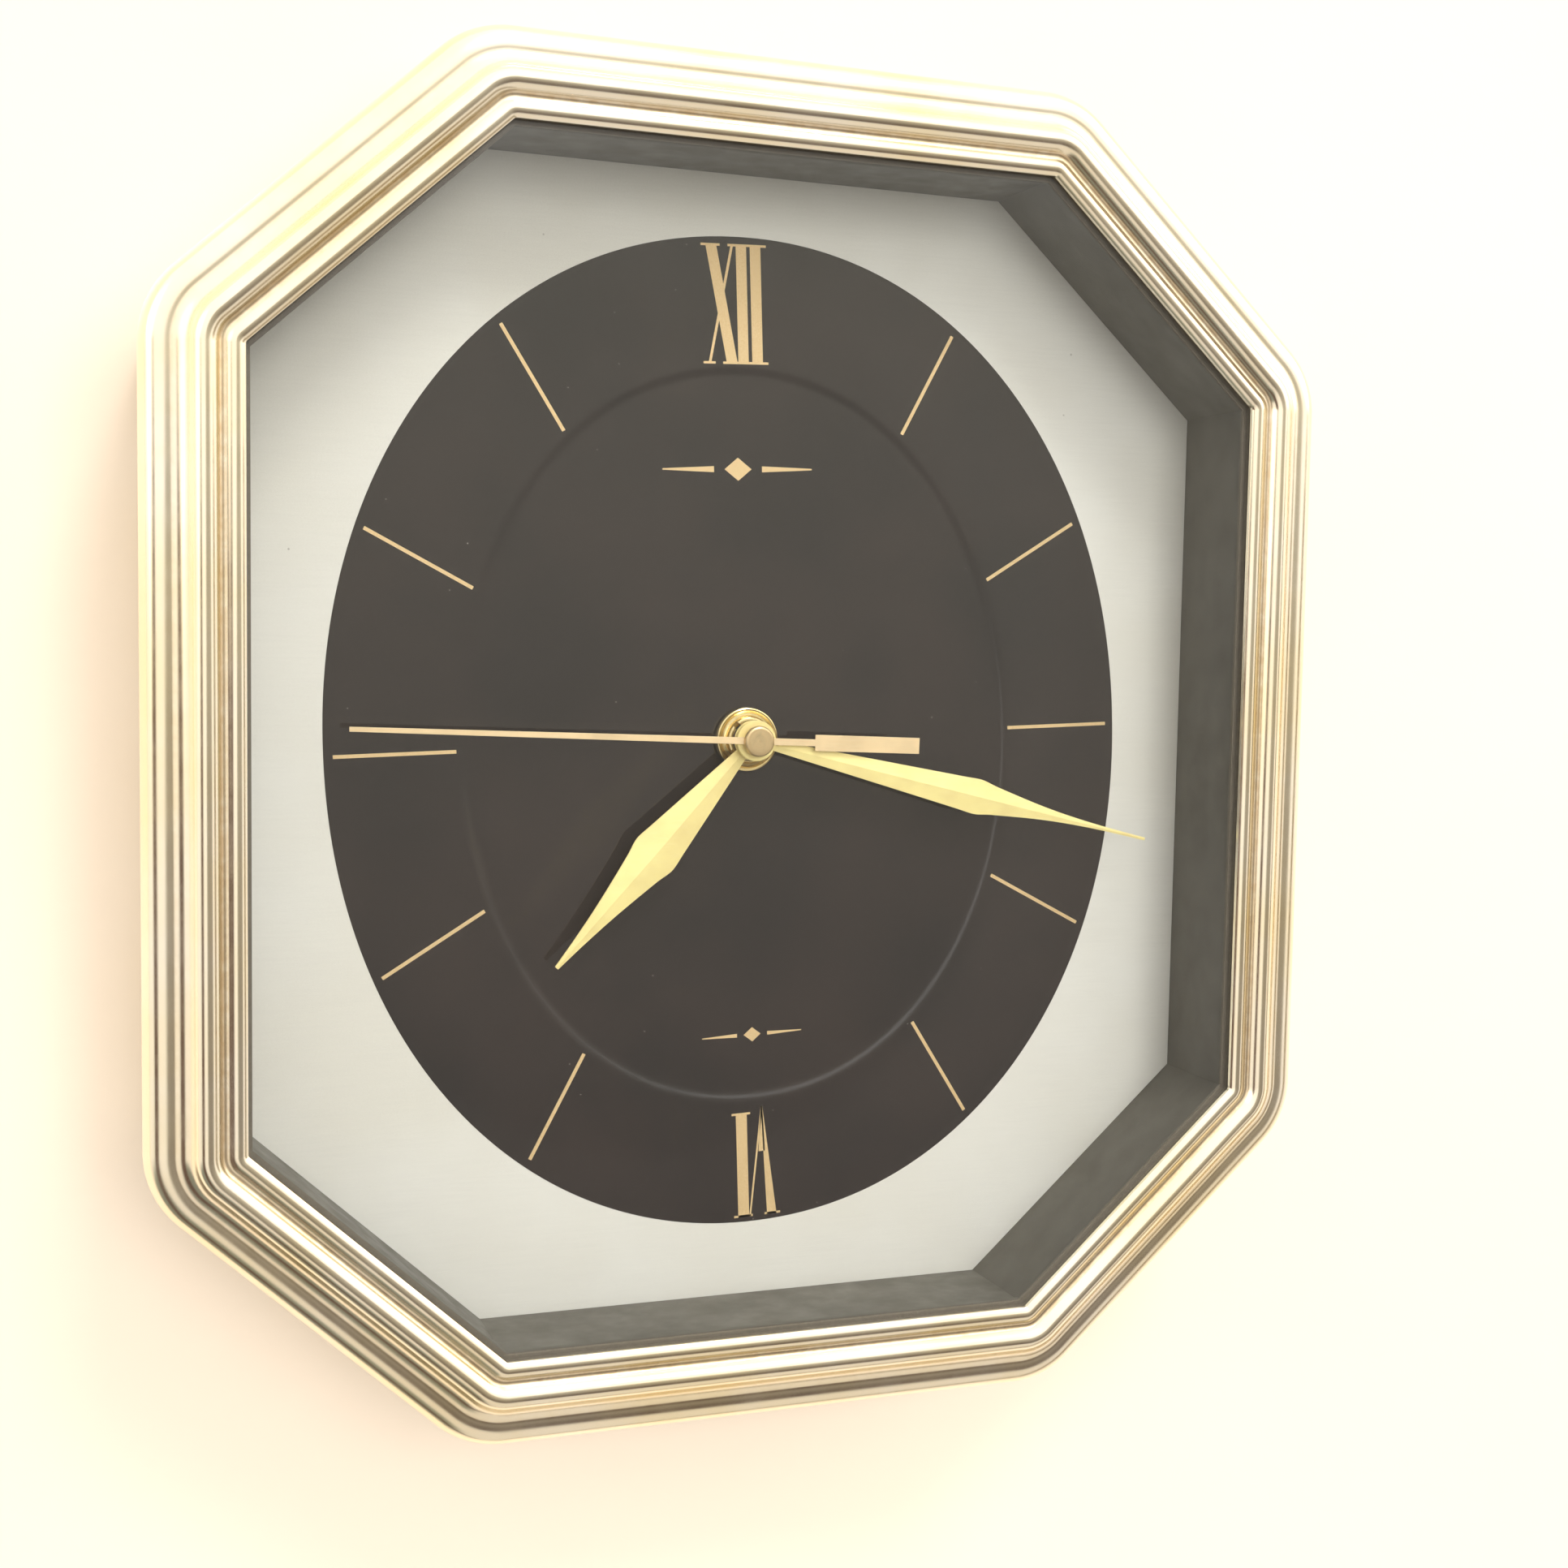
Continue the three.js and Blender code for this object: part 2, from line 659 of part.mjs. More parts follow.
const cannonPhase = motionDirection;
const motionWheelPhase = meshPhase(cannonPhase, cannonLeaves, motionDirection, motionTeeth);
const knobPhase = meshPhase(motionWheelPhase, motionTeeth, knobDirection, knobLeaves);
const motionPinionPhase = motionDirection;
const hourPhase = meshPhase(motionPinionPhase, motionLeaves, motionDirection + Math.PI, hourTeeth);
const secondsPinionPhase = thirdDirection;
const thirdWheelPhase = meshPhase(secondsPinionPhase, secondsLeaves, thirdDirection, thirdTeeth);
const thirdPinionPhase = thirdDirection;
const centrePhase = meshPhase(thirdPinionPhase, thirdLeaves, thirdDirection + Math.PI, centreTeeth);
const secondsWheelPhase = intermediateDirection;
const intermediatePinionPhase =
  meshPhase(secondsWheelPhase, secondsTeeth, intermediateDirection, intermediateLeaves);
const intermediateWheelPhase = rotorDirection;
const rotorPhase = meshPhase(intermediateWheelPhase, intermediateTeeth, rotorDirection, rotorLeaves);

function hourWheel() {
  const wheel = gear(hourTeeth, hourModule, hourPhase, hourLevel, hourLevel + wheelThickness);
  const pipe = rod(hourPipeRadius, fromFace(hourHandHeight + handThickness), hourLevel + wheelThickness, 20);
  const bore = rod(cannonRadius + running, beyondHands, hourLevel + 2 * past, 20);
  return cut(wheel.add(pipe), bore);
}

function cannonPinion() {
  const pinion = gear(cannonLeaves, cannonModule, cannonPhase, motionLevel - reach,
    motionLevel + wheelThickness);
  const tube = rod(cannonRadius, fromFace(minuteHandHeight + handThickness), centreLevel + wheelThickness, 20);
  const bore = rod(cannonBore, beyondHands, trainPlateDepth, 12);
  return cut(pinion.add(tube), bore);
}

function motionWheel() {
  const wheel = gear(motionTeeth, cannonModule, motionWheelPhase, motionLevel, motionLevel + wheelThickness);
  const pinion = gear(motionLeaves, hourModule, motionPinionPhase, hourLevel - reach, motionLevel + seat);
  return union(wheel, pinion, rod(pivotRadius, frontPivot, platePivotRear, 8));
}

function centreWheel() {
  const wheel = gear(centreTeeth, centreModule, centrePhase, centreLevel, centreLevel + wheelThickness - seat);
  return cut(wheel, rod(cannonRadius + running, centreLevel - past, centreLevel + 2 * past, 20));
}

function thirdWheel() {
  const wheel = gear(thirdTeeth, secondsModule, thirdWheelPhase, thirdLevel, thirdLevel + wheelThickness);
  const pinion = gear(thirdLeaves, centreModule, thirdPinionPhase, centreLevel - reach, thirdLevel + seat);
  return union(wheel, pinion, rod(pivotRadius, frontPivot, platePivotRear, 8));
}

function secondsWheel() {
  const wheel = gear(secondsTeeth, intermediateModule, secondsWheelPhase, secondsLevel,
    secondsLevel + wheelThickness);
  const pinion = gear(secondsLeaves, secondsModule, secondsPinionPhase, thirdLevel - reach, thirdLevel + past);
  const capBore = secondHandHeight + handThickness + capThickness / 2;
  return union(wheel, pinion, rod(arborRadius, fromFace(capBore), coverPivot, 12));
}

function intermediateWheel() {
  const wheel = gear(intermediateTeeth, rotorModule, intermediateWheelPhase, intermediateLevel,
    intermediateLevel + wheelThickness);
  const pinion = gear(intermediateLeaves, intermediateModule, intermediatePinionPhase, secondsLevel - reach,
    intermediateLevel + seat);
  return union(wheel, pinion, rod(pivotRadius, platePivotFront, coverPivot, 8));
}

function rotor() {
  const magnetFrom = statorDepth + (statorThickness - rotorMagnetLength) / 2;
  const pinion = gear(rotorLeaves, rotorModule, rotorPhase, intermediateLevel - reach, magnetFrom + seat);
  const magnet = rod(rotorMagnetRadius, magnetFrom, magnetFrom + rotorMagnetLength, 20);
  return union(pinion, magnet, rod(pivotRadius, platePivotFront, coverPivot, 8));
}

function settingKnob() {
  const pinion = gear(knobLeaves, cannonModule, knobPhase, motionLevel, motionLevel + wheelThickness);
  const shaft = rod(knobShaftRadius, motionLevel, movementDepth + fused, 12);
  const grip = gear(knobGrip.teeth, knobGrip.module, 0, movementDepth + slack, movementDepth + knobHeight);
  return union(pinion, shaft, grip);
}

// ---------------------------------------------------------------- movement

const innerHalf = movementHalfWidth - movementWall;
const innerTop = movementAbove - movementWall;
const batteryZ = (bayTop + bayBottom) / 2;
const batteryDepth = movementWall + slack + batteryRadius;
const platePosts = [-1, 1].flatMap((side) => [innerTop - postInset, postInset - partitionDrop].map((z) =>
  [side * (innerHalf - postInset), z]));

function movementBase() {
  const body = plate(roundedRectangle(-movementHalfWidth, movementHalfWidth, -movementBelow, movementAbove,
    movementCorner), 0, movementDepth);
  const gearRoom = plate(roundedRectangle(-innerHalf, innerHalf, -partitionDrop, innerTop, roomCorner),
    gearRoomFront, movementDepth + past);
  const batteryBay = plate(roundedRectangle(-innerHalf, innerHalf, bayBottom, bayTop, roomCorner),
    gearRoomFront, movementDepth + past);
  const coverSeat = move(block(2 * (movementHalfWidth + past), coverFront - seat, movementDepth + past,
    2 * movementAbove), 0, bayTop + movementAbove);
  const posts = platePosts.map(([x, z]) =>
    move(rod(basePostRadius, movementWall / 2, trainPlateDepth - seat, 8), x, z));
  const bush = rod(bushRadius, fromFace(bushFrontHeight), movementWall / 2, 24);
  const bushHole = rod(bushBore, beyondHands, movementWall + past, 24);
  const pivots = [thirdAt, motionAt].map(([x, z]) =>
    move(rod(pivotRadius + running, gearRoomFront - pivotDepth, gearRoomFront + past, 8), x, z));
  const tray = cut(body, gearRoom, batteryBay, coverSeat);
  return cut(union(tray, bush, ...posts), bushHole, ...pivots);
}

function movementCover() {
  const outline = roundedRectangle(-movementHalfWidth, movementHalfWidth, bayTop + seat, movementAbove,
    movementCorner);
  const lid = plate(outline, coverFront, movementDepth);
  const blind = [[0, 0], intermediateAt, rotorAt].map(([x, z], i) =>
    move(rod((i ? pivotRadius : arborRadius) + running, coverFront - past, coverFront + pivotDepth, 12), x, z));
  const knobHole = move(rod(knobShaftRadius + slack, coverFront - past, movementDepth + past, 16), ...knobAt);
  return cut(lid, ...blind, knobHole);
}

function trainPlate() {
  const edge = innerHalf - slack;
  const outline = roundedRectangle(-edge, edge, slack - partitionDrop, innerTop - slack, roomCorner);
  const sheet = plate(outline, trainPlateDepth, trainPlateRear);
  const carried = [...statorPosts, ...boardPosts].map(([x, z]) =>
    move(rod(platePostRadius, trainPlateDepth, statorDepth - seat, 8), x, z));
  const centreHole = rod(plateCentreHole, 0, movementDepth, 16);
  const bearings = [thirdAt, motionAt, intermediateAt, rotorAt].map(([x, z]) =>
    move(rod(pivotRadius + running, 0, movementDepth, 8), x, z));
  const knobHole = move(rod(knobShaftRadius + slack, 0, movementDepth, 12), ...knobAt);
  return cut(union(sheet, ...carried), centreHole, ...bearings, knobHole);
}

const statorLeft = rotorAt[0] - statorHalfLength;
const statorRight = rotorAt[0] + statorHalfLength;
const statorLow = rotorAt[1] - poleHalfHeight;
const legTop = rotorAt[1] + poleHalfHeight;
const coreZ = legTop + coilRadius + coilGap;
const boardBox = {
  left: boardLeft, right: innerHalf - boardMargin, low: boardMargin - partitionDrop, high: boardHigh,
};
const lowCorners = (left, right, low) =>
  [[left + holderInset, low + holderInset], [right - holderInset, low + holderInset]];
const statorPosts = lowCorners(statorLeft, statorRight, statorLow);
const boardPosts = lowCorners(boardBox.left, boardBox.right, boardBox.low);

/** Lamination: a wide pole around the rotor, and a slim core that carries the coil. */
function stator() {
  const outline = [[statorLeft, statorLow], [statorRight, statorLow], [statorRight, coreZ + coreWidth / 2],
    [statorLeft, coreZ + coreWidth / 2]];
  const window = [[statorLeft + legWidth, legTop], [statorLeft + legWidth, coreZ - coreWidth / 2],
    [statorRight - legWidth, coreZ - coreWidth / 2], [statorRight - legWidth, legTop]];
  const lamination = plate(outline, statorDepth, statorDepth + statorThickness, [window]);
  const rotorHole = rod(rotorMagnetRadius + rotorAirGap, statorDepth - past, statorDepth + 2 * past, 24);
  return cut(lamination, move(rotorHole, ...rotorAt));
}

function coil() {
  const bore = coreWidth / 2 + running + coilBoreGap;
  const winding = washer(bore, coilRadius, -coilLength / 2, coilLength / 2, 16);
  return winding.rotate([0, 0, 90]).translate(rotorAt[0], statorDepth + statorThickness / 2, coreZ);
}

function circuitBoard() {
  const { left, right, low, high } = boardBox;
  const outline = [[left, low], [right, low], [right, high], [left, high]];
  return plate(outline, statorDepth, statorDepth + statorThickness);
}

function driverChip() {
  const rear = statorDepth - seat;
  const { radius, shoulder, top, edge, height } = chip;
  const dome = turned([[0, rear - height], [top, rear - height + edge], [shoulder, rear - edge], [radius, rear],
    [0, rear]], 14);
  return move(dome, ...chipAt);
}

function quartzCrystal() {
  const { radius, halfLength, edge, shoulder } = crystal;
  const can = turned([
    [0, -halfLength], [radius - edge, -halfLength], [radius, shoulder - halfLength],
    [radius, halfLength - shoulder], [radius - edge, halfLength], [0, halfLength],
  ], 12);
  return can.rotate([90, 0, 0]).translate(crystalX, statorDepth - seat - radius, 0);
}

const batteryLeft = -(batteryLength + batteryNubLength) / 2;

/** The cell lies along X with its button to the right. */
function battery() {
  const shoulder = batteryLeft + batteryLength;
  const cell = turned([
    [0, batteryLeft], [batteryRadius - batteryEdge, batteryLeft], [batteryRadius, batteryLeft + batteryEdge],
    [batteryRadius, shoulder - batteryEdge], [batteryRadius - batteryEdge, shoulder],
    [batteryNubRadius, shoulder], [batteryNubRadius, shoulder + batteryNubLength], [0, shoulder + batteryNubLength],
  ], 16);
  return cell.rotate([0, 0, -90]).translate(0, batteryDepth, batteryZ);
}

/** Spring strips at the bay's ends: side -1 has a cone that presses on the cell's flat end. */
function batteryContact(side) {
  const back = innerHalf - seat;
  const room = back - contactThickness + batteryLeft;
  const { base, tip } = side < 0 ? contactCone : contactButton;
  const strip = turned([[0, -contactThickness], [contactRadius, -contactThickness], [contactRadius, 0],
    [base, 0], [tip, room - seat], [0, room - seat]], 12);
  const facing = side < 0 ? strip.rotate([0, 0, -90]) : strip.rotate([0, 0, 90]);
  return facing.translate(side * (back - contactThickness), batteryDepth, batteryZ);
}

// ---------------------------------------------------------------- fixing nut and hands

const washerTop = seat + fixingWasherThickness;
const nutTop = washerTop + nutHeight;

function fixingNut() {
  const bore = bushRadius + running;
  const bottom = atHeight(washerTop + nutGap);
  const top = atHeight(nutTop);
  const nut = turned([
    [bore, bottom], [nutFlangeRadius, bottom], [nutFlangeRadius, bottom - nutFlangeHeight],
    [nutRing.radius, bottom - nutRing.rise], [nutFoot.radius, bottom - nutFoot.rise],
    [nutCrownRadius, top], [bore, top], [bore, bottom],
  ], 20);
  const notches = [0, 90].map((angle) =>
    block(nutNotch.width, top - past, top + nutNotch.depth, 2 * nutFlangeRadius).rotate([0, angle, 0]));
  return cut(nut, ...notches);
}

/** A leaf-shaped hand that points to +X. */
function leafHand(hand, bore, height) {
  const { length, widest, widestAt, neck } = hand;
  const half = [
    [hand.hub * leafHubShare, neck / 2], [widestAt * leafRise.along, widest * leafRise.width],
    [widestAt, widest / 2], [widestAt * leafShoulder.along, widest * leafShoulder.width],
    [widestAt + (length - widestAt) * leafTaper.along, widest * leafTaper.width], [length, leafTip],
  ];
  const outline = [...half.map(([x, z]) => [x, -z]), ...half.toReversed()];
  const front = atHeight(height + handThickness);
  const leaf = plate(outline, front, atHeight(height));
  const hub = rod(hand.hub, front, atHeight(height), 16);
  return cut(leaf.add(hub), rod(bore, front - past, atHeight(height) + past, 16));
}

function sweepHand() {
  const front = atHeight(secondHandHeight + secondHandThickness);
  const back = atHeight(secondHandHeight);
  const { from, to, width } = counterweight;
  const { length, root, tip } = secondHand;
  const outline = [[length, -tip / 2], [length, tip / 2], [0, root / 2], [-from, root / 2], [-from, width / 2],
    [-to, width / 2], [-to, -width / 2], [-from, -width / 2], [-from, -root / 2], [0, -root / 2]];
  const blade = plate(outline.toReversed(), front, back);
  const hub = rod(secondHand.hub, front, back, 12);
  return cut(blade.add(hub), rod(arborRadius + running, front - past, back + past, 12));
}

function sweepHandCap() {
  const back = atHeight(secondHandHeight + secondHandThickness + seat);
  const front = back - capThickness;
  const bore = arborRadius + running;
  const boreEnd = back - capThickness * capBoreShare;
  return turned([[0, front], [capRadius - capEdge.in, front], [capRadius, front + capEdge.down],
    [capRadius, back], [bore, back], [bore, boreEnd], [0, boreEnd]], 16);
}

/** Turns a hand that points to +X to its angle in the case, inside the dial's own turned group. */
function atAngle(solid, degrees) {
  return solid.rotate([0, THREE.MathUtils.radToDeg(dialTurn) - degrees, 0]);
}

// ---------------------------------------------------------------- assembly

const clock = new THREE.Group();
const caseGroup = new THREE.Group();
caseGroup.position.z = -hookAboveCentre;
clock.add(caseGroup);

addPiece(caseGroup, 'front_bezel', frontBezel(), gold);
addPiece(caseGroup, 'front_glass', frontGlass(), glass);
addPiece(caseGroup, 'glass_seal', glassSeal(), rubber);
addPiece(caseGroup, 'sight_ring', sightRing(), anthracite);
addPiece(caseGroup, 'back_case', backCase(), brownPlastic);
sideMiddles(bossOffset).forEach(([x, z], i) => {
  const screw = addPiece(caseGroup, `case_screw_${i + 1}`, panHeadScrew(screwLength), steel);
  screw.position.set(x, atHeight(backRear) + seat, z);
});
[-1, 1].forEach((side, i) => {
  const pad = rod(bumperRadius - bumperStep, -bumperThickness, 0, 12);
  addPiece(caseGroup, `wall_bumper_${i + 1}`, move(pad, side * bumperX, -bumperDrop), rubber);
});

addPiece(clock, 'hanger_plate', hangerPlate(), steel);
[-1, 1].forEach((side, i) => {
  const screw = addPiece(clock, `hanger_screw_${i + 1}`, panHeadScrew(hangerScrewLength), steel);
  screw.position.set(side * hangerScrewX, hangerRear + seat, -hangerScrewDrop);
});

// The dial, the movement clamped behind it and the hands turn together in the case
const dialGroup = new THREE.Group();
dialGroup.position.z = dialRise;
dialGroup.rotation.y = -dialTurn;
caseGroup.add(dialGroup);

const dialPlate = cut(plate(sharpOctagon(dialMargin), atHeight(0), atHeight(dialBack)),
  rod(dialHoleRadius, atHeight(past), atHeight(dialBack - past), 24));
addPiece(dialGroup, 'dial_plate', dialPlate, silver);
const sealWasherFront = atHeight(dialBack - seat);
addPiece(dialGroup, 'seal_washer',
  washer(bushRadius + slack, sealWasherRadius, sealWasherFront, sealWasherFront + sealWasherThickness), rubber);
addPiece(dialGroup, 'fixing_washer', washer(bushRadius + running, fixingWasherRadius, atHeight(washerTop),
  atHeight(seat)), brass);
addPiece(dialGroup, 'fixing_nut', fixingNut(), brass);

const movement = new THREE.Group();
movement.position.y = movementFace;
dialGroup.add(movement);

const placed = (solid, [x, z]) => move(solid, x, z);
addPiece(movement, 'movement_base', movementBase(), blackPlastic);
addPiece(movement, 'movement_cover', movementCover(), blackPlastic);
addPiece(movement, 'train_plate', trainPlate(), whitePlastic);
addPiece(movement, 'stator', stator(), steel);
addPiece(movement, 'coil', coil(), copper);
addPiece(movement, 'circuit_board', circuitBoard(), board);
addPiece(movement, 'driver_chip', driverChip(), blackPlastic);
addPiece(movement, 'quartz_crystal', quartzCrystal(), steel);
addPiece(movement, 'battery_contact_minus', batteryContact(-1), steel);
addPiece(movement, 'battery_contact_plus', batteryContact(1), steel);
addPiece(movement, 'battery', battery(), batteryJacket);
addPiece(movement, 'rotor', placed(rotor(), rotorAt), steel);
addPiece(movement, 'intermediate_wheel', placed(intermediateWheel(), intermediateAt), whitePlastic);
addPiece(movement, 'seconds_wheel', secondsWheel(), brass);
addPiece(movement, 'third_wheel', placed(thirdWheel(), thirdAt), whitePlastic);
addPiece(movement, 'centre_wheel', centreWheel(), whitePlastic);
addPiece(movement, 'cannon_pinion', cannonPinion(), brass);
addPiece(movement, 'motion_wheel', placed(motionWheel(), motionAt), whitePlastic);
addPiece(movement, 'hour_wheel', hourWheel(), whitePlastic);
addPiece(movement, 'setting_knob', placed(settingKnob(), knobAt), whitePlastic);

addPiece(dialGroup, 'hour_hand',
  atAngle(leafHand(hourHand, hourPipeRadius + running, hourHandHeight), hourHand.angle), handGold);
addPiece(dialGroup, 'minute_hand',
  atAngle(leafHand(minuteHand, cannonRadius + running, minuteHandHeight), minuteHand.angle), handGold);
addPiece(dialGroup, 'second_hand', atAngle(sweepHand(), secondHand.angle), handGold);
addPiece(dialGroup, 'second_hand_cap', sweepHandCap(), brass);

export default clock;
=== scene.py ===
"""Looks for an octagonal wall clock: mirror-gold frame, flat glass, silver dial and creased gold hands.

Metres. +X is the viewer's right, +Y goes into the wall and +Z is up. Heights are measured from the dial's
face towards the viewer, and outlines on the dial are (across, up) from the hands' axis, in millimetres.
"""
import math

import bmesh
import bpy
from mathutils import Matrix, Vector


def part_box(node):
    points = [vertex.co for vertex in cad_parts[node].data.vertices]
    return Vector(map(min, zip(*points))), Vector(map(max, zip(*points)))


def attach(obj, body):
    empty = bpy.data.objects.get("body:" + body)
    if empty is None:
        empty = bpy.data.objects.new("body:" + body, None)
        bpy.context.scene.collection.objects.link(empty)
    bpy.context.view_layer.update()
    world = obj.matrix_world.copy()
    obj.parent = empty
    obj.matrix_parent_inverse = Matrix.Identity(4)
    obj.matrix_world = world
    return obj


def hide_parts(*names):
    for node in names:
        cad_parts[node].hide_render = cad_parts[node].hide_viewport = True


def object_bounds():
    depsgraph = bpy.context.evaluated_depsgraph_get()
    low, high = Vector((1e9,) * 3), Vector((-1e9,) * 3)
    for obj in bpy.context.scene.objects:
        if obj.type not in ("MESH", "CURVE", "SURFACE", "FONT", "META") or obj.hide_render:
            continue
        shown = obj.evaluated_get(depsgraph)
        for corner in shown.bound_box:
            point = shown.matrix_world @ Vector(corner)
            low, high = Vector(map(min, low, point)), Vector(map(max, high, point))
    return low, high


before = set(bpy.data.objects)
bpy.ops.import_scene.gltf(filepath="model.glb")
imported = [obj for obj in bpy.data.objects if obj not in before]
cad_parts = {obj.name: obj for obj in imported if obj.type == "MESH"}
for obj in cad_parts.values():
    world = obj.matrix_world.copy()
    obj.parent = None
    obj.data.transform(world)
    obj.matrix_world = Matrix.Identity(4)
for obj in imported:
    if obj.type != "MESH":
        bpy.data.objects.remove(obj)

cad_low, cad_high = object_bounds()
MM = 0.001

# ---------------------------------------------------------------- places taken from the frame

case_low, case_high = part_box("front_bezel")
cap_low, cap_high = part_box("second_hand_cap")
DIAL_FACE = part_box("dial_plate")[0].y
CASE_CENTRE = Vector(((case_low.x + case_high.x) / 2, 0, (case_low.z + case_high.z) / 2))
HAND_AXIS = Vector(((cap_low.x + cap_high.x) / 2, 0, (cap_low.z + cap_high.z) / 2))

# ---------------------------------------------------------------- driving sizes, millimetres and degrees

FRAME_WIDTH = 17.2
CORNER_CUT = (45.0, 41.2)
LIP_RADIUS = 0.8
LIP_HEIGHT = 27.0
SKIRT_HEIGHT = 21.0
BOSS = {"outer": 2.6, "bore": 1.25, "front": 23.9, "back": -0.75, "chamfer": 0.15}
BEZEL_CORNER_STEPS = 14
GLASS_REACH = 2.6
DIAL_REACH = 4.8
DIAL_TURN = 2.41

OVAL = (82.0, 97.8)
OVAL_POWER = 2.074
STEP_OVAL = (57.4, 73.2)
STEP_BEVEL = 2.2
STEP_DEPTH = 0.45
DIAL_HOLE = 3.6
LACQUER = 0.03
PRINT = 0.03
OVAL_SIDES = 240

NUMERAL_TWELVE = {"width": 13.3, "height": 23.0, "gap": 1.4}
NUMERAL_SIX = {"width": 9.8, "height": 22.0, "gap": 1.0}
TICK = {"width": 0.7, "gap": 1.75, "length": 22.85}
ORNAMENTS = (("upper", 53.1, 30.8, 4.5), ("lower", -59.6, 21.0, 2.9))

HOUR_LEAF = [(2.8, 1.15), (26.0, 4.35), (29.6, 4.8), (33.2, 4.0), (43.7, 2.15), (52.0, 1.05), (58.4, 0.4)]
MINUTE_LEAF = [(2.8, 1.0), (45.0, 3.35), (49.0, 3.6), (53.0, 2.9), (65.0, 1.3), (76.0, 0.55), (89.0, 0.3)]
HOUR_COLLAR = (3.9, 2.65)
MINUTE_COLLAR = (4.0, 1.75)
LEAF_SHEET = 0.22
LEAF_CREASE = 0.16
COLLAR_THICKNESS = 0.45
SECOND_REACH, SECOND_TIP = 78.1, 0.45
SECOND_HALF, SECOND_BLADE_ROOT = 0.675, 1.2
WEIGHT_START, WEIGHT_END, WEIGHT_HALF = -11.8, -34.0, 1.6
SECOND_HUB, SECOND_BORE = 2.0, 0.65

HOUR_ANGLE = -131.7
MINUTE_ANGLE = -13.45
SECOND_ANGLE = 178.4


# ---------------------------------------------------------------- meshes


def new_object(name, mesh):
    """A piece in the scene, not yet riding on anything."""
    piece = bpy.data.objects.new(name, mesh)
    bpy.context.scene.collection.objects.link(piece)
    return piece


def from_bmesh(name, bm, crease=35.0):
    """A piece from a bmesh, smooth except where its faces meet at more than the crease angle."""
    bmesh.ops.recalc_face_normals(bm, faces=bm.faces)
    mesh = bpy.data.meshes.new(name)
    bm.to_mesh(mesh)
    bm.free()
    mesh.polygons.foreach_set("use_smooth", [True] * len(mesh.polygons))
    mesh.set_sharp_from_angle(angle=math.radians(crease))
    return new_object(name, mesh)


def fit(piece, look, body, slot, *nodes):
    """Dresses a piece, makes it ride on a body and lets it stand for CAD nodes."""
    piece.data.materials.clear()
    piece.data.materials.append(look)
    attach(piece, body)
    if nodes:
        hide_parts(*nodes)
    return piece


def on_dial(across, up, height, turn=0.0):
    """A point in the row frame from millimetres on the dial, turned about the hands' axis."""
    c, s = math.cos(math.radians(turn)), math.sin(math.radians(turn))
    return Vector((
        HAND_AXIS.x + (across * c - up * s) * MM,
        DIAL_FACE - height * MM,
        HAND_AXIS.z + (across * s + up * c) * MM,
    ))


def loft(name, rings, closed=False, crease=35.0):
    """A skin through rings of points that all have the same count. Open lofts are capped at both ends."""
    bm = bmesh.new()
    loops = [[bm.verts.new(p) for p in ring] for ring in rings]
    pairs = list(zip(loops, loops[1:]))
    if closed:
        pairs.append((loops[-1], loops[0]))
    for one, two in pairs:
        for k in range(len(one)):
            after = (k + 1) % len(one)
            bm.faces.new((one[k], two[k], two[after], one[after]))
    if not closed:
        bm.faces.new(loops[0])
        bm.faces.new(loops[-1])
    return from_bmesh(name, bm, crease)


def prism(name, outline, low, high, turn=0.0):
    """An outline in millimetres on the dial, raised between two heights."""
    return loft(name, [[on_dial(x, z, h, turn) for x, z in outline] for h in (low, high)])


def turned(name, profile, centre, sides=96):
    """A solid of revolution about Y from (radius, height) points. A radius of 0 closes it on the axis."""
    bm = bmesh.new()
    rings = []
    for radius, height in profile:
        y = DIAL_FACE - height * MM
        if radius == 0:
            rings.append([bm.verts.new((centre.x, y, centre.z))])
            continue
        turns = [2 * math.pi * k / sides for k in range(sides)]
        reach = radius * MM
        rings.append([bm.verts.new((centre.x + reach * math.cos(t), y, centre.z + reach * math.sin(t)))
                      for t in turns])
    closed = all(radius > 0 for radius, _ in profile)
    for one, two in zip(rings, rings[1:] + (rings[:1] if closed else [])):
        for k in range(sides):
            after = (k + 1) % sides
            face = [one[k % len(one)], two[k % len(two)], two[after % len(two)], one[after % len(one)]]
            corners = list(dict.fromkeys(face))
            if len(corners) > 2:
                bm.faces.new(corners)
    return from_bmesh(name, bm)


def boolean(piece, others, operation):
    """Joins to a piece, or cuts from it, the others, which are used up."""
    for other in others:
        step = piece.modifiers.new("step", "BOOLEAN")
        step.operation = operation
        step.solver = "EXACT"
        step.object = other
    graph = bpy.context.evaluated_depsgraph_get()
    made = bpy.data.meshes.new_from_object(piece.evaluated_get(graph))
    piece.modifiers.clear()
    piece.data = made
    for other in others:
        bpy.data.objects.remove(other)
    return piece


def sharpen(piece, crease=30.0):
    """Smooth shading, broken where faces meet at more than the crease angle."""
    piece.data.polygons.foreach_set("use_smooth", [True] * len(piece.data.polygons))
    piece.data.set_sharp_from_angle(angle=math.radians(crease))
    return piece


def bevelled(piece, width, segments=2):
    """Small rounded edges, as a moulded or stamped piece has."""
    bevel = piece.modifiers.new("edge", "BEVEL")
    bevel.width = width * MM
    bevel.segments = segments
    bevel.limit_method = "ANGLE"
    bevel.angle_limit = math.radians(35)
    bevel.harden_normals = False
    return piece


# ---------------------------------------------------------------- the octagon

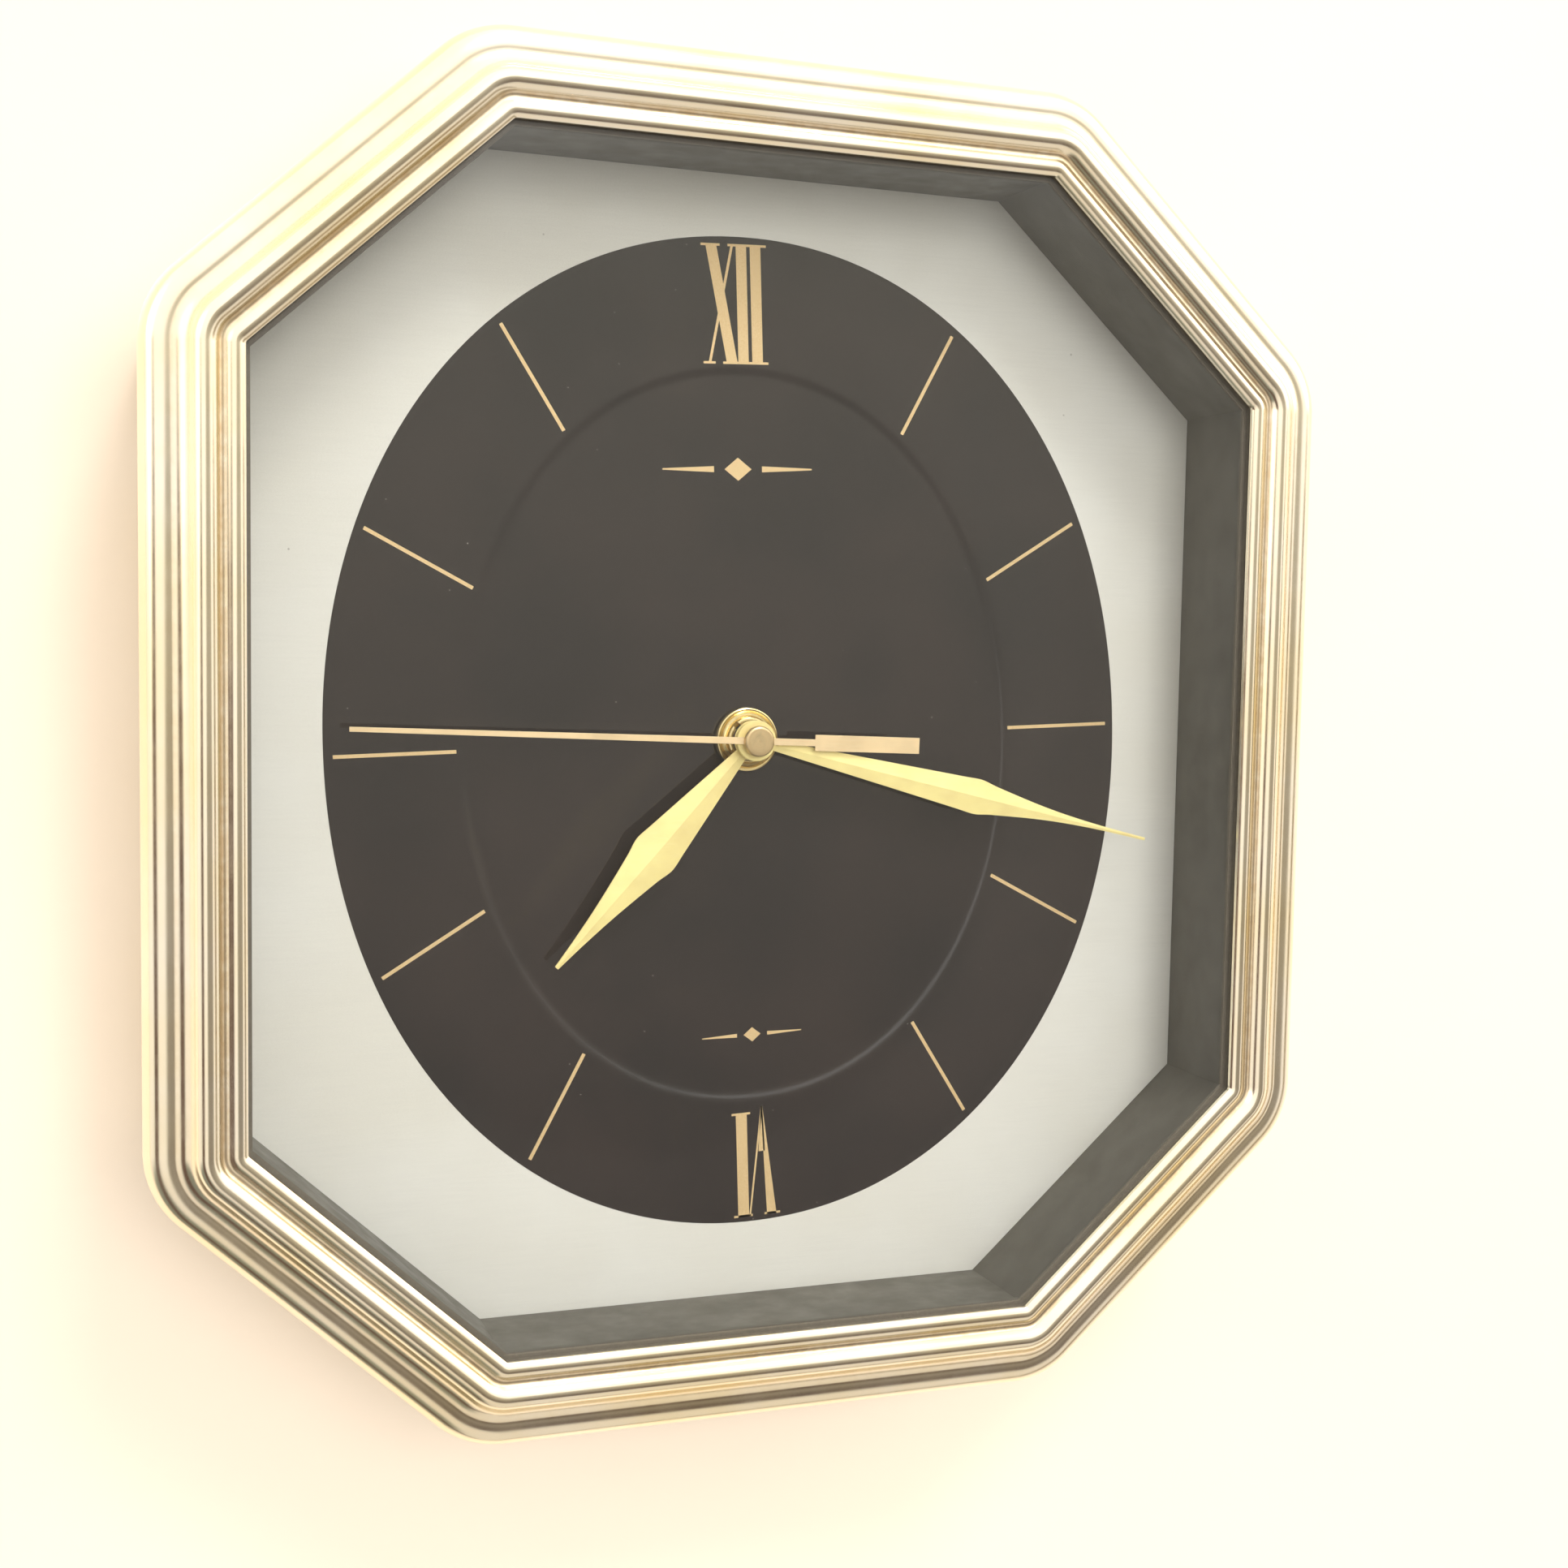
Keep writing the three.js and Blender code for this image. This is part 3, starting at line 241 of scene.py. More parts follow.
cut_x, cut_z = CORNER_CUT
half_width = (case_high.x - case_low.x) / 2 / MM - FRAME_WIDTH
half_height = (case_high.z - case_low.z) / 2 / MM - FRAME_WIDTH
DIAGONAL = math.atan2(cut_x, cut_z)
SIDE_NORMALS = [0, DIAGONAL, math.pi / 2, math.pi - DIAGONAL, math.pi, math.pi + DIAGONAL, 1.5 * math.pi,
                2 * math.pi - DIAGONAL, 2 * math.pi]
OPENING = []
for right, top in ((1, 1), (-1, 1), (-1, -1), (1, -1)):
    on_side = (right * half_width, top * (half_height - cut_z))
    on_top = (right * (half_width - cut_x), top * half_height)
    OPENING += [on_side, on_top] if right == top else [on_top, on_side]


def sharp_octagon(offset):
    """The opening grown by an offset, as eight (x, z) corners in millimetres from the case's centre."""
    corners = []
    for i, (x, z) in enumerate(OPENING):
        middle = (SIDE_NORMALS[i] + SIDE_NORMALS[i + 1]) / 2
        reach = offset / math.cos((SIDE_NORMALS[i + 1] - SIDE_NORMALS[i]) / 2)
        corners.append((x + reach * math.cos(middle), z + reach * math.sin(middle)))
    return corners


def round_octagon(offset, steps):
    """The opening grown by an offset, with round corners: (x, z, outward normal's angle) for each point."""
    points = []
    for i, (x, z) in enumerate(sharp_octagon(-LIP_RADIUS)):
        for k in range(steps + 1):
            angle = SIDE_NORMALS[i] + (SIDE_NORMALS[i + 1] - SIDE_NORMALS[i]) * k / steps
            reach = offset + LIP_RADIUS
            points.append((x + reach * math.cos(angle), z + reach * math.sin(angle), angle))
    return points


def in_case(x, z, height):
    """A point in the row frame from millimetres about the case's centre."""
    return Vector((CASE_CENTRE.x + x * MM, DIAL_FACE - height * MM, CASE_CENTRE.z + z * MM))


def arc(start, end, rise, steps):
    """Points of a shallow arc. A positive rise bulges to the left of the way from start to end."""
    (ax, ay), (bx, by) = start, end
    chord = math.hypot(bx - ax, by - ay)
    points = []
    for k in range(steps + 1):
        t = k / steps
        lift = 4 * rise * t * (1 - t) / chord
        points.append((ax + (bx - ax) * t - (by - ay) * lift, ay + (by - ay) * t + (bx - ax) * lift))
    return points


def softened(points, spacing=0.2, blur=0.38, reach_steps=6):
    """A polyline drawn again at even spacing and blurred along its length, but for its ends."""
    lengths = [0.0]
    for one, two in zip(points, points[1:]):
        lengths.append(lengths[-1] + math.dist(one, two))
    even, segment = [], 0
    count = math.ceil(lengths[-1] / spacing)
    for k in range(count + 1):
        along = lengths[-1] * k / count
        while segment < len(points) - 2 and lengths[segment + 1] < along:
            segment += 1
        span = max(lengths[segment + 1] - lengths[segment], 1e-9)
        share = (along - lengths[segment]) / span
        even.append(Vector(points[segment]).lerp(Vector(points[segment + 1]), share))
    smooth = [even[0]]
    for k in range(1, count):
        total, weights = Vector((0, 0)), 0.0
        reach = min(reach_steps, k, count - k)
        for step in range(-reach, reach + 1):
            weight = math.exp(-0.5 * (step * spacing / blur) ** 2)
            total += even[k + step] * weight
            weights += weight
        smooth.append(total / weights)
    return [tuple(point) for point in smooth + [even[-1]]]


def swept_frame(name, profile, steps):
    """A closed (offset, height) profile swept round the round octagon with exact shading normals.

    Its point attribute "relief" is 0 in a groove, a half on a flat and 1 on a crest.
    """
    smooth_below = math.radians(32)
    count = len(profile)
    segments = [(Vector(profile[(i + 1) % count]) - Vector(profile[i])) for i in range(count)]
    normals = [Vector((-s.y, s.x)).normalized() for s in segments]
    paths = [round_octagon(offset, steps) for offset, _ in profile]
    around = len(paths[0])
    verts, relief = [], []
    for i, (_, height) in enumerate(profile):
        into, out = segments[i - 1], segments[i]
        bend = -(into.x * out.y - into.y * out.x) / max(into.length * out.length, 1e-9)
        bend /= (into.length + out.length) / 2
        level = 0.5 + 0.5 * math.tanh(bend * 0.6)
        for x, z, _ in paths[i]:
            verts.append(in_case(x, z, height))
            relief.append(level)
    faces, shading = [], []
    for i in range(count):
        after = (i + 1) % count
        start, end = normals[i], normals[i]
        if normals[i - 1].angle(start) < smooth_below:
            start = (normals[i - 1] + start).normalized()
        if normals[after].angle(end) < smooth_below:
            end = (normals[after] + end).normalized()
        for k in range(around):
            beside = (k + 1) % around
            faces.append((i * around + k, after * around + k, after * around + beside, i * around + beside))
            for normal, point in ((start, k), (end, k), (end, beside), (start, beside)):
                angle = paths[i][point][2]
                shading.append((normal.x * math.cos(angle), -normal.y, normal.x * math.sin(angle)))
    mesh = bpy.data.meshes.new(name)
    mesh.from_pydata(verts, [], faces)
    mesh.polygons.foreach_set("use_smooth", [True] * len(faces))
    mesh.normals_split_custom_set(shading)
    attribute = mesh.attributes.new("relief", "FLOAT", "POINT")
    attribute.data.foreach_set("value", relief)
    return new_object(name, mesh)


# ---------------------------------------------------------------- node materials


class Look:
    """A node material on one Principled shader, with short ways to make the nodes that the looks share."""

    def __init__(self, name, color, roughness, metallic=0.0, **sockets):
        self.material = bpy.data.materials.new(name)
        self.material.use_nodes = True
        self.tree = self.material.node_tree
        self.shader = self.tree.nodes["Principled BSDF"]
        self.shader.inputs["Base Color"].default_value = (*color, 1)
        self.shader.inputs["Roughness"].default_value = roughness
        self.shader.inputs["Metallic"].default_value = metallic
        for socket, value in sockets.items():
            self.shader.inputs[socket.replace("_", " ")].default_value = value
        self.coordinates = self.node("ShaderNodeTexCoord").outputs["Object"]

    def node(self, kind, **settings):
        made = self.tree.nodes.new(kind)
        for setting, value in settings.items():
            setattr(made, setting, value)
        return made

    def link(self, socket, target):
        self.tree.links.new(socket, target)

    def stretched(self, scale=(1, 1, 1), turn=0.0):
        """The piece's own coordinates, scaled along each axis and turned about Y."""
        mapping = self.node("ShaderNodeMapping")
        mapping.inputs["Scale"].default_value = scale
        mapping.inputs["Rotation"].default_value = (0, math.radians(turn), 0)
        self.link(self.coordinates, mapping.inputs["Vector"])
        return mapping.outputs["Vector"]

    def noise(self, size, detail=3.0, roughness=0.55, at=None):
        """Noise whose grains are about this many millimetres across."""
        made = self.node("ShaderNodeTexNoise")
        made.inputs["Scale"].default_value = 1 / (size * MM)
        made.inputs["Detail"].default_value = detail
        made.inputs["Roughness"].default_value = roughness
        self.link(at or self.coordinates, made.inputs["Vector"])
        return made.outputs["Fac"]

    def cells(self, size, randomness=1.0, feature="F1"):
        made = self.node("ShaderNodeTexVoronoi", feature=feature)
        made.inputs["Scale"].default_value = 1 / (size * MM)
        made.inputs["Randomness"].default_value = randomness
        self.link(self.coordinates, made.inputs["Vector"])
        return made.outputs["Distance"]

    def ranged(self, socket, low, high, from_low=0.0, from_high=1.0):
        """A value moved to a new range, and kept inside it."""
        made = self.node("ShaderNodeMapRange")
        made.inputs["From Min"].default_value = from_low
        made.inputs["From Max"].default_value = from_high
        made.inputs["To Min"].default_value = low
        made.inputs["To Max"].default_value = high
        self.link(socket, made.inputs["Value"])
        return made.outputs["Result"]

    def sum(self, one, two, operation="ADD"):
        """Two values put together by a math operation, which adds them unless told otherwise."""
        made = self.node("ShaderNodeMath", operation=operation)
        self.link(one, made.inputs[0])
        self.link(two, made.inputs[1])
        return made.outputs[0]

    def mixed(self, share, one, two):
        """Two colours mixed by a share. A colour is a socket or three numbers."""
        made = self.node("ShaderNodeMix", data_type="RGBA")
        colours = [s for s in made.inputs if s.type == "RGBA"]
        self.link(share, made.inputs["Factor"])
        for value, socket in zip((one, two), colours):
            if isinstance(value, tuple):
                socket.default_value = (*value, 1)
            else:
                self.link(value, socket)
        return next(s for s in made.outputs if s.type == "RGBA")

    def color(self, socket):
        self.link(socket, self.shader.inputs["Base Color"])

    def roughness(self, socket):
        self.link(socket, self.shader.inputs["Roughness"])

    def bump(self, height, depth, strength=1.0, after=None):
        """Relief of this many millimetres. Bumps stack when one is given the last one."""
        made = self.node("ShaderNodeBump")
        made.inputs["Distance"].default_value = depth * MM
        made.inputs["Strength"].default_value = strength
        self.link(height, made.inputs["Height"])
        if after:
            self.link(after, made.inputs["Normal"])
        self.link(made.outputs["Normal"], self.shader.inputs["Normal"])
        return made.outputs["Normal"]

    def attribute(self, name):
        return self.node("ShaderNodeAttribute", attribute_name=name).outputs["Fac"]

    def away_from(self, point):
        """The distance from an axis along Y through a point, in metres."""
        offset = self.node("ShaderNodeVectorMath", operation="SUBTRACT")
        offset.inputs[1].default_value = point
        self.link(self.coordinates, offset.inputs[0])
        flat = self.node("ShaderNodeVectorMath", operation="MULTIPLY")
        flat.inputs[1].default_value = (1, 0, 1)
        self.link(offset.outputs[0], flat.inputs[0])
        length = self.node("ShaderNodeVectorMath", operation="LENGTH")
        self.link(flat.outputs[0], length.inputs[0])
        return length.outputs["Value"]

    def axis(self, letter):
        parts = self.node("ShaderNodeSeparateXYZ")
        self.link(self.coordinates, parts.inputs[0])
        return parts.outputs[letter]

    def shadow_ray(self):
        return self.node("ShaderNodeLightPath").outputs["Is Shadow Ray"]

    def open_to(self, share, tint):
        """Lets light of a tint straight through for a share."""
        through = self.node("ShaderNodeBsdfTransparent")
        through.inputs["Color"].default_value = tint
        both = self.node("ShaderNodeMixShader")
        for one, two in zip((share, self.shader.outputs[0], through.outputs[0]), both.inputs):
            self.link(one, two)
        self.link(both.outputs[0], self.tree.nodes["Material Output"].inputs["Surface"])


def mirror_gold():
    """Vacuum-plated plastic: a faintly wavy mirror, with painted shade darkening the grooves, and thin on the
    crests.
    """
    look = Look("mirror_gold", (0.96, 0.88, 0.72), 0.12, 1.0)
    relief = look.attribute("relief")
    patches = look.noise(26, 4)
    plating = look.mixed(look.ranged(patches, 0, 1, 0.35, 0.65), (0.97, 0.84, 0.58), (0.98, 0.89, 0.72))
    crest = look.ranged(relief, 0, 0.7, 0.62, 0.95)
    worn = look.sum(crest, look.ranged(look.noise(5, 5), 0, 1, 0.38, 0.72), "MULTIPLY")
    plating = look.mixed(worn, plating, (0.98, 0.95, 0.88))
    # Painted shade: the grooves, where the beads shade each other, are tinted a patchy brown.
    groove = look.ranged(relief, 1, 0, 0.1, 0.46)
    patchy = look.ranged(look.noise(2.2, 5), 0.35, 1, 0.3, 0.6)
    groove_shade = look.sum(groove, patchy, "MULTIPLY")
    look.color(look.mixed(groove_shade, plating, (0.68, 0.47, 0.24)))
    film = look.ranged(look.noise(9, 6, 0.65), 0.17, 0.25, 0.35, 0.75)
    look.roughness(look.sum(film, look.ranged(relief, 0.22, 0.0, 0.05, 0.4)))
    waves = look.bump(look.noise(14, 2, 0.4), 0.05, 0.35)
    look.bump(look.noise(0.9, 3), 0.003, 0.5, waves)
    return look.material


def clear_glass():
    """A clean float-glass pane with a faint film. Lamps shine through it."""
    look = Look("clear_glass", (0.985, 0.995, 0.99), 0.0, 0.0, IOR=1.5, Transmission_Weight=1.0)
    smears = look.noise(34, 5, 0.6, look.stretched((1, 1, 0.5), 30))
    look.roughness(look.ranged(smears, 0.0, 0.02, 0.5, 0.8))
    look.bump(look.noise(60, 1), 0.02, 0.2)
    look.open_to(look.shadow_ray(), (0.97, 0.98, 0.975, 1))
    return look.material


def rubber(name, color):
    look = Look(name, color, 0.75)
    grain = look.noise(0.35, 3)
    look.color(look.mixed(grain, color, tuple(1.9 * c + 0.004 for c in color)))
    look.roughness(look.ranged(look.noise(3, 4), 0.6, 0.85))
    look.bump(grain, 0.02, 0.6)
    return look.material


def moulded(name, color, grain=0.45, depth=0.015, roughness=0.5, scuffs=1.6):
    """Moulded plastic: a spark-eroded grain, a slow change of tone and light scuffs."""
    look = Look(name, color, roughness)
    tone = look.noise(22, 4)
    dark, light = tuple(0.86 * c for c in color), tuple(1.12 * c for c in color)
    base = look.mixed(look.ranged(tone, 0, 1, 0.3, 0.7), dark, light)
    marks = look.ranged(look.noise(1.8, 6, 0.7, look.stretched((1, 1, 0.18), 24)), 0, 0.5, 0.62, 0.74)
    look.color(look.mixed(marks, base, tuple(min(1.0, scuffs * c + 0.01) for c in color)))
    look.roughness(look.ranged(look.noise(7, 5), roughness - 0.1, roughness + 0.12, 0.3, 0.7))
    fine = look.bump(look.noise(grain, 4, 0.6), depth, 0.7)
    look.bump(look.noise(18, 2), 0.06, 0.25, fine)
    return look.material


def dial_silver():
    """Satin aluminium: a fine sparkle, faint rolling lines and a few specks."""
    look = Look("dial_silver", (0.66, 0.64, 0.58), 0.5, 0.2)
    grain = look.noise(0.28, 4, 0.7)
    lines = look.noise(0.5, 3, 0.6, look.stretched((0.04, 1, 1)))
    cloud = look.ranged(look.noise(60, 3), 0, 1, 0.35, 0.65)
    tone = look.mixed(cloud, (0.63, 0.605, 0.54), (0.68, 0.665, 0.62))
    sparkle = look.mixed(look.ranged(grain, 0, 0.35, 0.35, 0.7), tone, (0.80, 0.79, 0.75))
    sparkle = look.mixed(look.ranged(lines, 0, 0.14, 0.4, 0.75), sparkle, (0.52, 0.51, 0.48))
    specks = look.ranged(look.cells(9.0), 0.8, 0.0, 0.012, 0.03)
    look.color(look.mixed(specks, sparkle, (0.30, 0.28, 0.25)))
    look.roughness(look.ranged(grain, 0.42, 0.58, 0.3, 0.7))
    look.bump(look.sum(grain, lines), 0.006, 0.6)
    return look.material


def dial_black():
    """Gloss lacquer: brown-black, with a faint orange peel and sparse dust."""
    look = Look("dial_black", (0.014, 0.011, 0.011), 0.09, 0.0, Specular_IOR_Level=0.6, Coat_Weight=0.6)
    cloud = look.ranged(look.noise(30, 3), 0, 1, 0.35, 0.65)
    tone = look.mixed(cloud, (0.012, 0.010, 0.010), (0.020, 0.015, 0.014))
    dust = look.ranged(look.cells(5.5), 0.8, 0.0, 0.010, 0.022)
    look.color(look.mixed(dust, tone, (0.42, 0.38, 0.34)))
    look.roughness(look.ranged(look.noise(12, 5), 0.05, 0.14, 0.35, 0.7))
    look.bump(look.noise(1.4, 2), 0.003, 0.35)
    return look.material


def print_gold():
    """Hot-foil gold print with a fine grain."""
    look = Look("print_gold", (0.80, 0.58, 0.30), 0.4, 0.55)
    grain = look.noise(0.16, 3, 0.7)
    look.color(look.mixed(look.ranged(grain, 0, 1, 0.35, 0.65), (0.74, 0.52, 0.25), (0.86, 0.66, 0.38)))
    look.roughness(look.ranged(grain, 0.32, 0.52, 0.3, 0.7))
    look.bump(grain, 0.005, 0.7)
    return look.material


def hand_gold(name, color, turn):
    """Stamped and gilt metal with a faint grain along the hand."""
    look = Look(name, color, 0.4, 0.4)
    along = look.noise(0.3, 4, 0.6, look.stretched((0.05, 1, 1), turn))
    tone = look.noise(8, 3)
    dark, light = tuple(0.90 * c for c in color), tuple(min(1.0, 1.05 * c) for c in color)
    base = look.mixed(look.ranged(tone, 0, 1, 0.35, 0.65), dark, light)
    look.color(look.mixed(look.ranged(along, 0, 0.12, 0.45, 0.75), base, (1.0, 0.93, 0.70)))
    look.roughness(look.ranged(along, 0.34, 0.48, 0.3, 0.7))
    look.bump(along, 0.002, 0.4)
    return look.material


def turned_brass(name, color, roughness=0.16):
    """Turned metal: fine rings about the hands' axis."""
    look = Look(name, color, roughness, 1.0)
    rings = look.node("ShaderNodeTexNoise", noise_dimensions="1D")
    rings.inputs["Scale"].default_value = 1 / (0.16 * MM)
    rings.inputs["Detail"].default_value = 2
    look.link(look.away_from(HAND_AXIS), rings.inputs["W"])
    lines = rings.outputs["Fac"]
    tarnish = look.ranged(look.noise(1.5, 5), 0, 0.5, 0.5, 0.8)
    look.color(look.mixed(tarnish, color, tuple(0.62 * c for c in color)))
    look.roughness(look.ranged(lines, roughness * 0.7, roughness * 1.8, 0.3, 0.7))
    look.bump(lines, 0.006, 0.6)
    return look.material


def brushed_steel(name, color, roughness=0.32, turn=0.0, spangle=0.0):
    """Rolled or plated steel: short scratches, a dull film and, if asked, zinc spangle."""
    look = Look(name, color, roughness, 1.0)
    scratches = look.noise(0.4, 4, 0.65, look.stretched((0.06, 1, 1), turn))
    film = look.noise(6, 5)
    base = look.mixed(look.ranged(film, 0, 1, 0.35, 0.7), tuple(0.8 * c for c in color), color)
    flakes = look.ranged(look.cells(2.6), 0, spangle, 0.1, 0.9)
    look.color(look.mixed(flakes, base, (0.86, 0.88, 0.92)))
    look.roughness(look.ranged(scratches, roughness - 0.1, roughness + 0.16, 0.3, 0.7))
    look.bump(scratches, 0.008, 0.6)
    return look.material


def gear_plastic():
    """Natural acetal: slightly translucent, waxy and faintly yellow."""
    look = Look("gear_plastic", (0.80, 0.79, 0.73), 0.36, 0.0,
                Subsurface_Weight=0.25, Subsurface_Scale=0.6 * MM)
    tone = look.noise(3, 3)
    look.color(look.mixed(tone, (0.78, 0.76, 0.69), (0.86, 0.85, 0.80)))
    look.roughness(look.ranged(look.noise(1.2, 4), 0.28, 0.46, 0.3, 0.7))
    look.bump(look.noise(0.5, 3), 0.006, 0.5)
    return look.material


def copper_winding():
    """Enamelled wire wound side by side along X."""
    look = Look("copper_winding", (0.62, 0.26, 0.12), 0.25, 0.9, Coat_Weight=0.5)
    wires = look.node("ShaderNodeTexWave", bands_direction="X")
    wires.inputs["Scale"].default_value = 1 / (0.7 * MM)
    wires.inputs["Distortion"].default_value = 0.6
    look.link(look.coordinates, wires.inputs["Vector"])
    look.color(look.mixed(wires.outputs["Fac"], (0.30, 0.10, 0.05), (0.76, 0.36, 0.18)))
    look.roughness(look.ranged(look.noise(1.0, 3), 0.2, 0.4))
    look.bump(wires.outputs["Fac"], 0.05, 0.8)
    return look.material


def board_green():
    """Circuit board: glass weave under green mask."""
    look = Look("board_green", (0.03, 0.17, 0.06), 0.35, 0.0, Coat_Weight=0.4)
    weave = look.node("ShaderNodeTexChecker")
    weave.inputs["Scale"].default_value = 1 / (0.5 * MM)
    look.link(look.coordinates, weave.inputs["Vector"])
    base = look.mixed(look.ranged(weave.outputs["Fac"], 0.35, 0.65), (0.02, 0.13, 0.04), (0.05, 0.24, 0.09))
    tracks = look.ranged(look.cells(2.2, 0.4, "F2"), 0, 0.6, 0.75, 0.8)
    look.color(look.mixed(tracks, base, (0.12, 0.36, 0.14)))
    look.roughness(look.ranged(look.noise(2, 3), 0.28, 0.45))
    look.bump(weave.outputs["Fac"], 0.01, 0.4)
    return look.material


def battery_jacket(left, length):
    """A shrink-wrapped cell: dark jacket with a copper-coloured band at its button end."""
    look = Look("battery_jacket", (0.03, 0.04, 0.05), 0.28, 0.3, Coat_Weight=0.5)
    share = look.ranged(look.axis("X"), 0, 1, left, left + length)
    band = look.ranged(share, 0, 1, 0.695, 0.705)
    line = look.sum(look.ranged(share, 0, 1, 0.655, 0.66), look.ranged(share, 1, 0, 0.672, 0.677), "MULTIPLY")
    body = look.mixed(look.noise(14, 4), (0.022, 0.027, 0.034), (0.040, 0.048, 0.060))
    wrap = look.mixed(band, body, (0.62, 0.34, 0.13))
    look.color(look.mixed(line, wrap, (0.72, 0.72, 0.70)))
    look.roughness(look.ranged(look.noise(5, 5), 0.2, 0.42, 0.3, 0.7))
    look.bump(look.noise(2.5, 3), 0.02, 0.4)
    return look.material


def magnet():
    look = Look("sintered_magnet", (0.10, 0.10, 0.11), 0.45, 0.6)
    grain = look.noise(0.5, 5, 0.7)
    look.color(look.mixed(grain, (0.06, 0.06, 0.065), (0.20, 0.20, 0.21)))
    look.roughness(look.ranged(grain, 0.35, 0.6))
    look.bump(grain, 0.02, 0.6)
    return look.material


GOLD = mirror_gold()
GLASS = clear_glass()
SEAL = rubber("seal_rubber", (0.085, 0.072, 0.055))
FELT = rubber("bumper_rubber", (0.030, 0.029, 0.028))
ANTHRACITE = moulded("anthracite", (0.082, 0.074, 0.056), grain=0.6, depth=0.01, roughness=0.42, scuffs=1.1)
SILVER = dial_silver()
BLACK = dial_black()
PRINTED = print_gold()
HOUR_GOLD = hand_gold("hour_hand_gold", (1.0, 0.82, 0.35), -HOUR_ANGLE)
MINUTE_GOLD = hand_gold("minute_hand_gold", (1.0, 0.82, 0.35), -MINUTE_ANGLE)
SECOND_GOLD = hand_gold("second_hand_gold", (0.82, 0.62, 0.36), -SECOND_ANGLE)
CAP_GOLD = turned_brass("cap_gold", (0.80, 0.61, 0.34), 0.4)
BRASS = turned_brass("nut_brass", (0.90, 0.72, 0.36))
BACK = moulded("back_plastic", (0.045, 0.037, 0.032), grain=0.8, depth=0.03, roughness=0.52)
MOVEMENT = moulded("movement_plastic", (0.022, 0.022, 0.025), grain=0.4, depth=0.012, roughness=0.42)
ZINC = brushed_steel("zinc_steel", (0.62, 0.63, 0.65), 0.34, 0.0, 0.35)
SCREW = brushed_steel("screw_steel", (0.66, 0.66, 0.66), 0.28, 35.0)
NICKEL = brushed_steel("nickel_spring", (0.74, 0.72, 0.68), 0.22, 90.0)
LAMINATION = brushed_steel("lamination_steel", (0.56, 0.57, 0.58), 0.38)
GEAR = gear_plastic()
COPPER = copper_winding()
BOARD = board_green()
MAGNET = magnet()


# ---------------------------------------------------------------- frame, glass and sight ring


def frame_profile():
    """The moulding: a small inner bead, a groove, the raised middle bead, a cove and the broad outer bead."""
    lip = LIP_HEIGHT
    skirt = FRAME_WIDTH - 0.8
    wall = -(case_high.y - DIAL_FACE) / MM
    front = [
        *arc((0, lip), (2.7, lip + 0.4), 0.55, 10),
        *arc((3.0, lip + 0.15), (4.3, lip + 0.15), -0.15, 4),
        *arc((4.6, lip + 0.8), (8.4, lip + 0.8), 1.0, 16),
        *arc((8.55, lip + 0.5), (12.1, lip - 2.0), -0.55, 10),
        *arc((12.2, lip - 1.9), (FRAME_WIDTH, SKIRT_HEIGHT), 1.5, 18),
    ]
    behind = [
        (skirt, wall), (skirt - 2.2, wall), (FRAME_WIDTH - 2.2, SKIRT_HEIGHT - 1.5),
        (13.0, lip - 4.2), (10.2, lip - 3.0), (8.4, lip - 1.0), (4.3, lip - 1.0), (4.3, lip - 3.4),
        (2.9, lip - 3.4), (2.9, lip - 0.8), (0, lip - 0.8),
    ]
    return softened(front) + behind


def build_frame():
    """The moulding, and the screw bosses behind it."""
    moulding = swept_frame("bezel_moulding", frame_profile(), BEZEL_CORNER_STEPS)
    fit(moulding, GOLD, "case", "frame_gold", "front_bezel")

    outer, bore, front, back, chamfer = BOSS.values()
    profile = [(bore, front), (outer, front), (outer, back + chamfer), (outer - chamfer, back),
               (bore + chamfer, back), (bore, back + chamfer)]
    for i in range(8):
        low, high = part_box(f"case_screw_{i + 1}")
        boss = turned(f"bezel_boss_{i + 1}", profile, (low + high) / 2, 32)
        fit(boss, GOLD, "case", "frame_gold")


def build_glass():
    low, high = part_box("front_glass")
    outline = [(x, z) for x, z, _ in round_octagon(GLASS_REACH, 10)]
    heights = [(DIAL_FACE - high.y) / MM, (DIAL_FACE - low.y) / MM]
    pane = loft("glass_pane", [[in_case(x, z, h) for x, z in outline] for h in heights])
    bevelled(pane, 0.25, 2)
    fit(pane, GLASS, "case", "glass", "front_glass")


# ---------------------------------------------------------------- dial


def oval(half_across, half_up, sides):
    """A superellipse as (across, up) points."""
    points = []
    for k in range(sides):
        t = 2 * math.pi * k / sides
        c, s = math.cos(t), math.sin(t)
        power = 2 / OVAL_POWER
        across, up = half_across * abs(c) ** power, half_up * abs(s) ** power
        points.append((math.copysign(across, c), math.copysign(up, s)))
    return points


def octagon_rays(offset, directions):
    """Where rays from the hands' axis leave the octagon, for each direction."""
    corners = sharp_octagon(offset)
    points = []
    for direction in directions:
        reach = 1e9
        for i, (x, z) in enumerate(corners):
            nx, nz = math.cos(SIDE_NORMALS[i]), math.sin(SIDE_NORMALS[i])
            lean = math.cos(direction) * nx + math.sin(direction) * nz
            if lean > 1e-6:
                reach = min(reach, (x * nx + z * nz) / lean)
        points.append((reach * math.cos(direction), reach * math.sin(direction)))
    return points


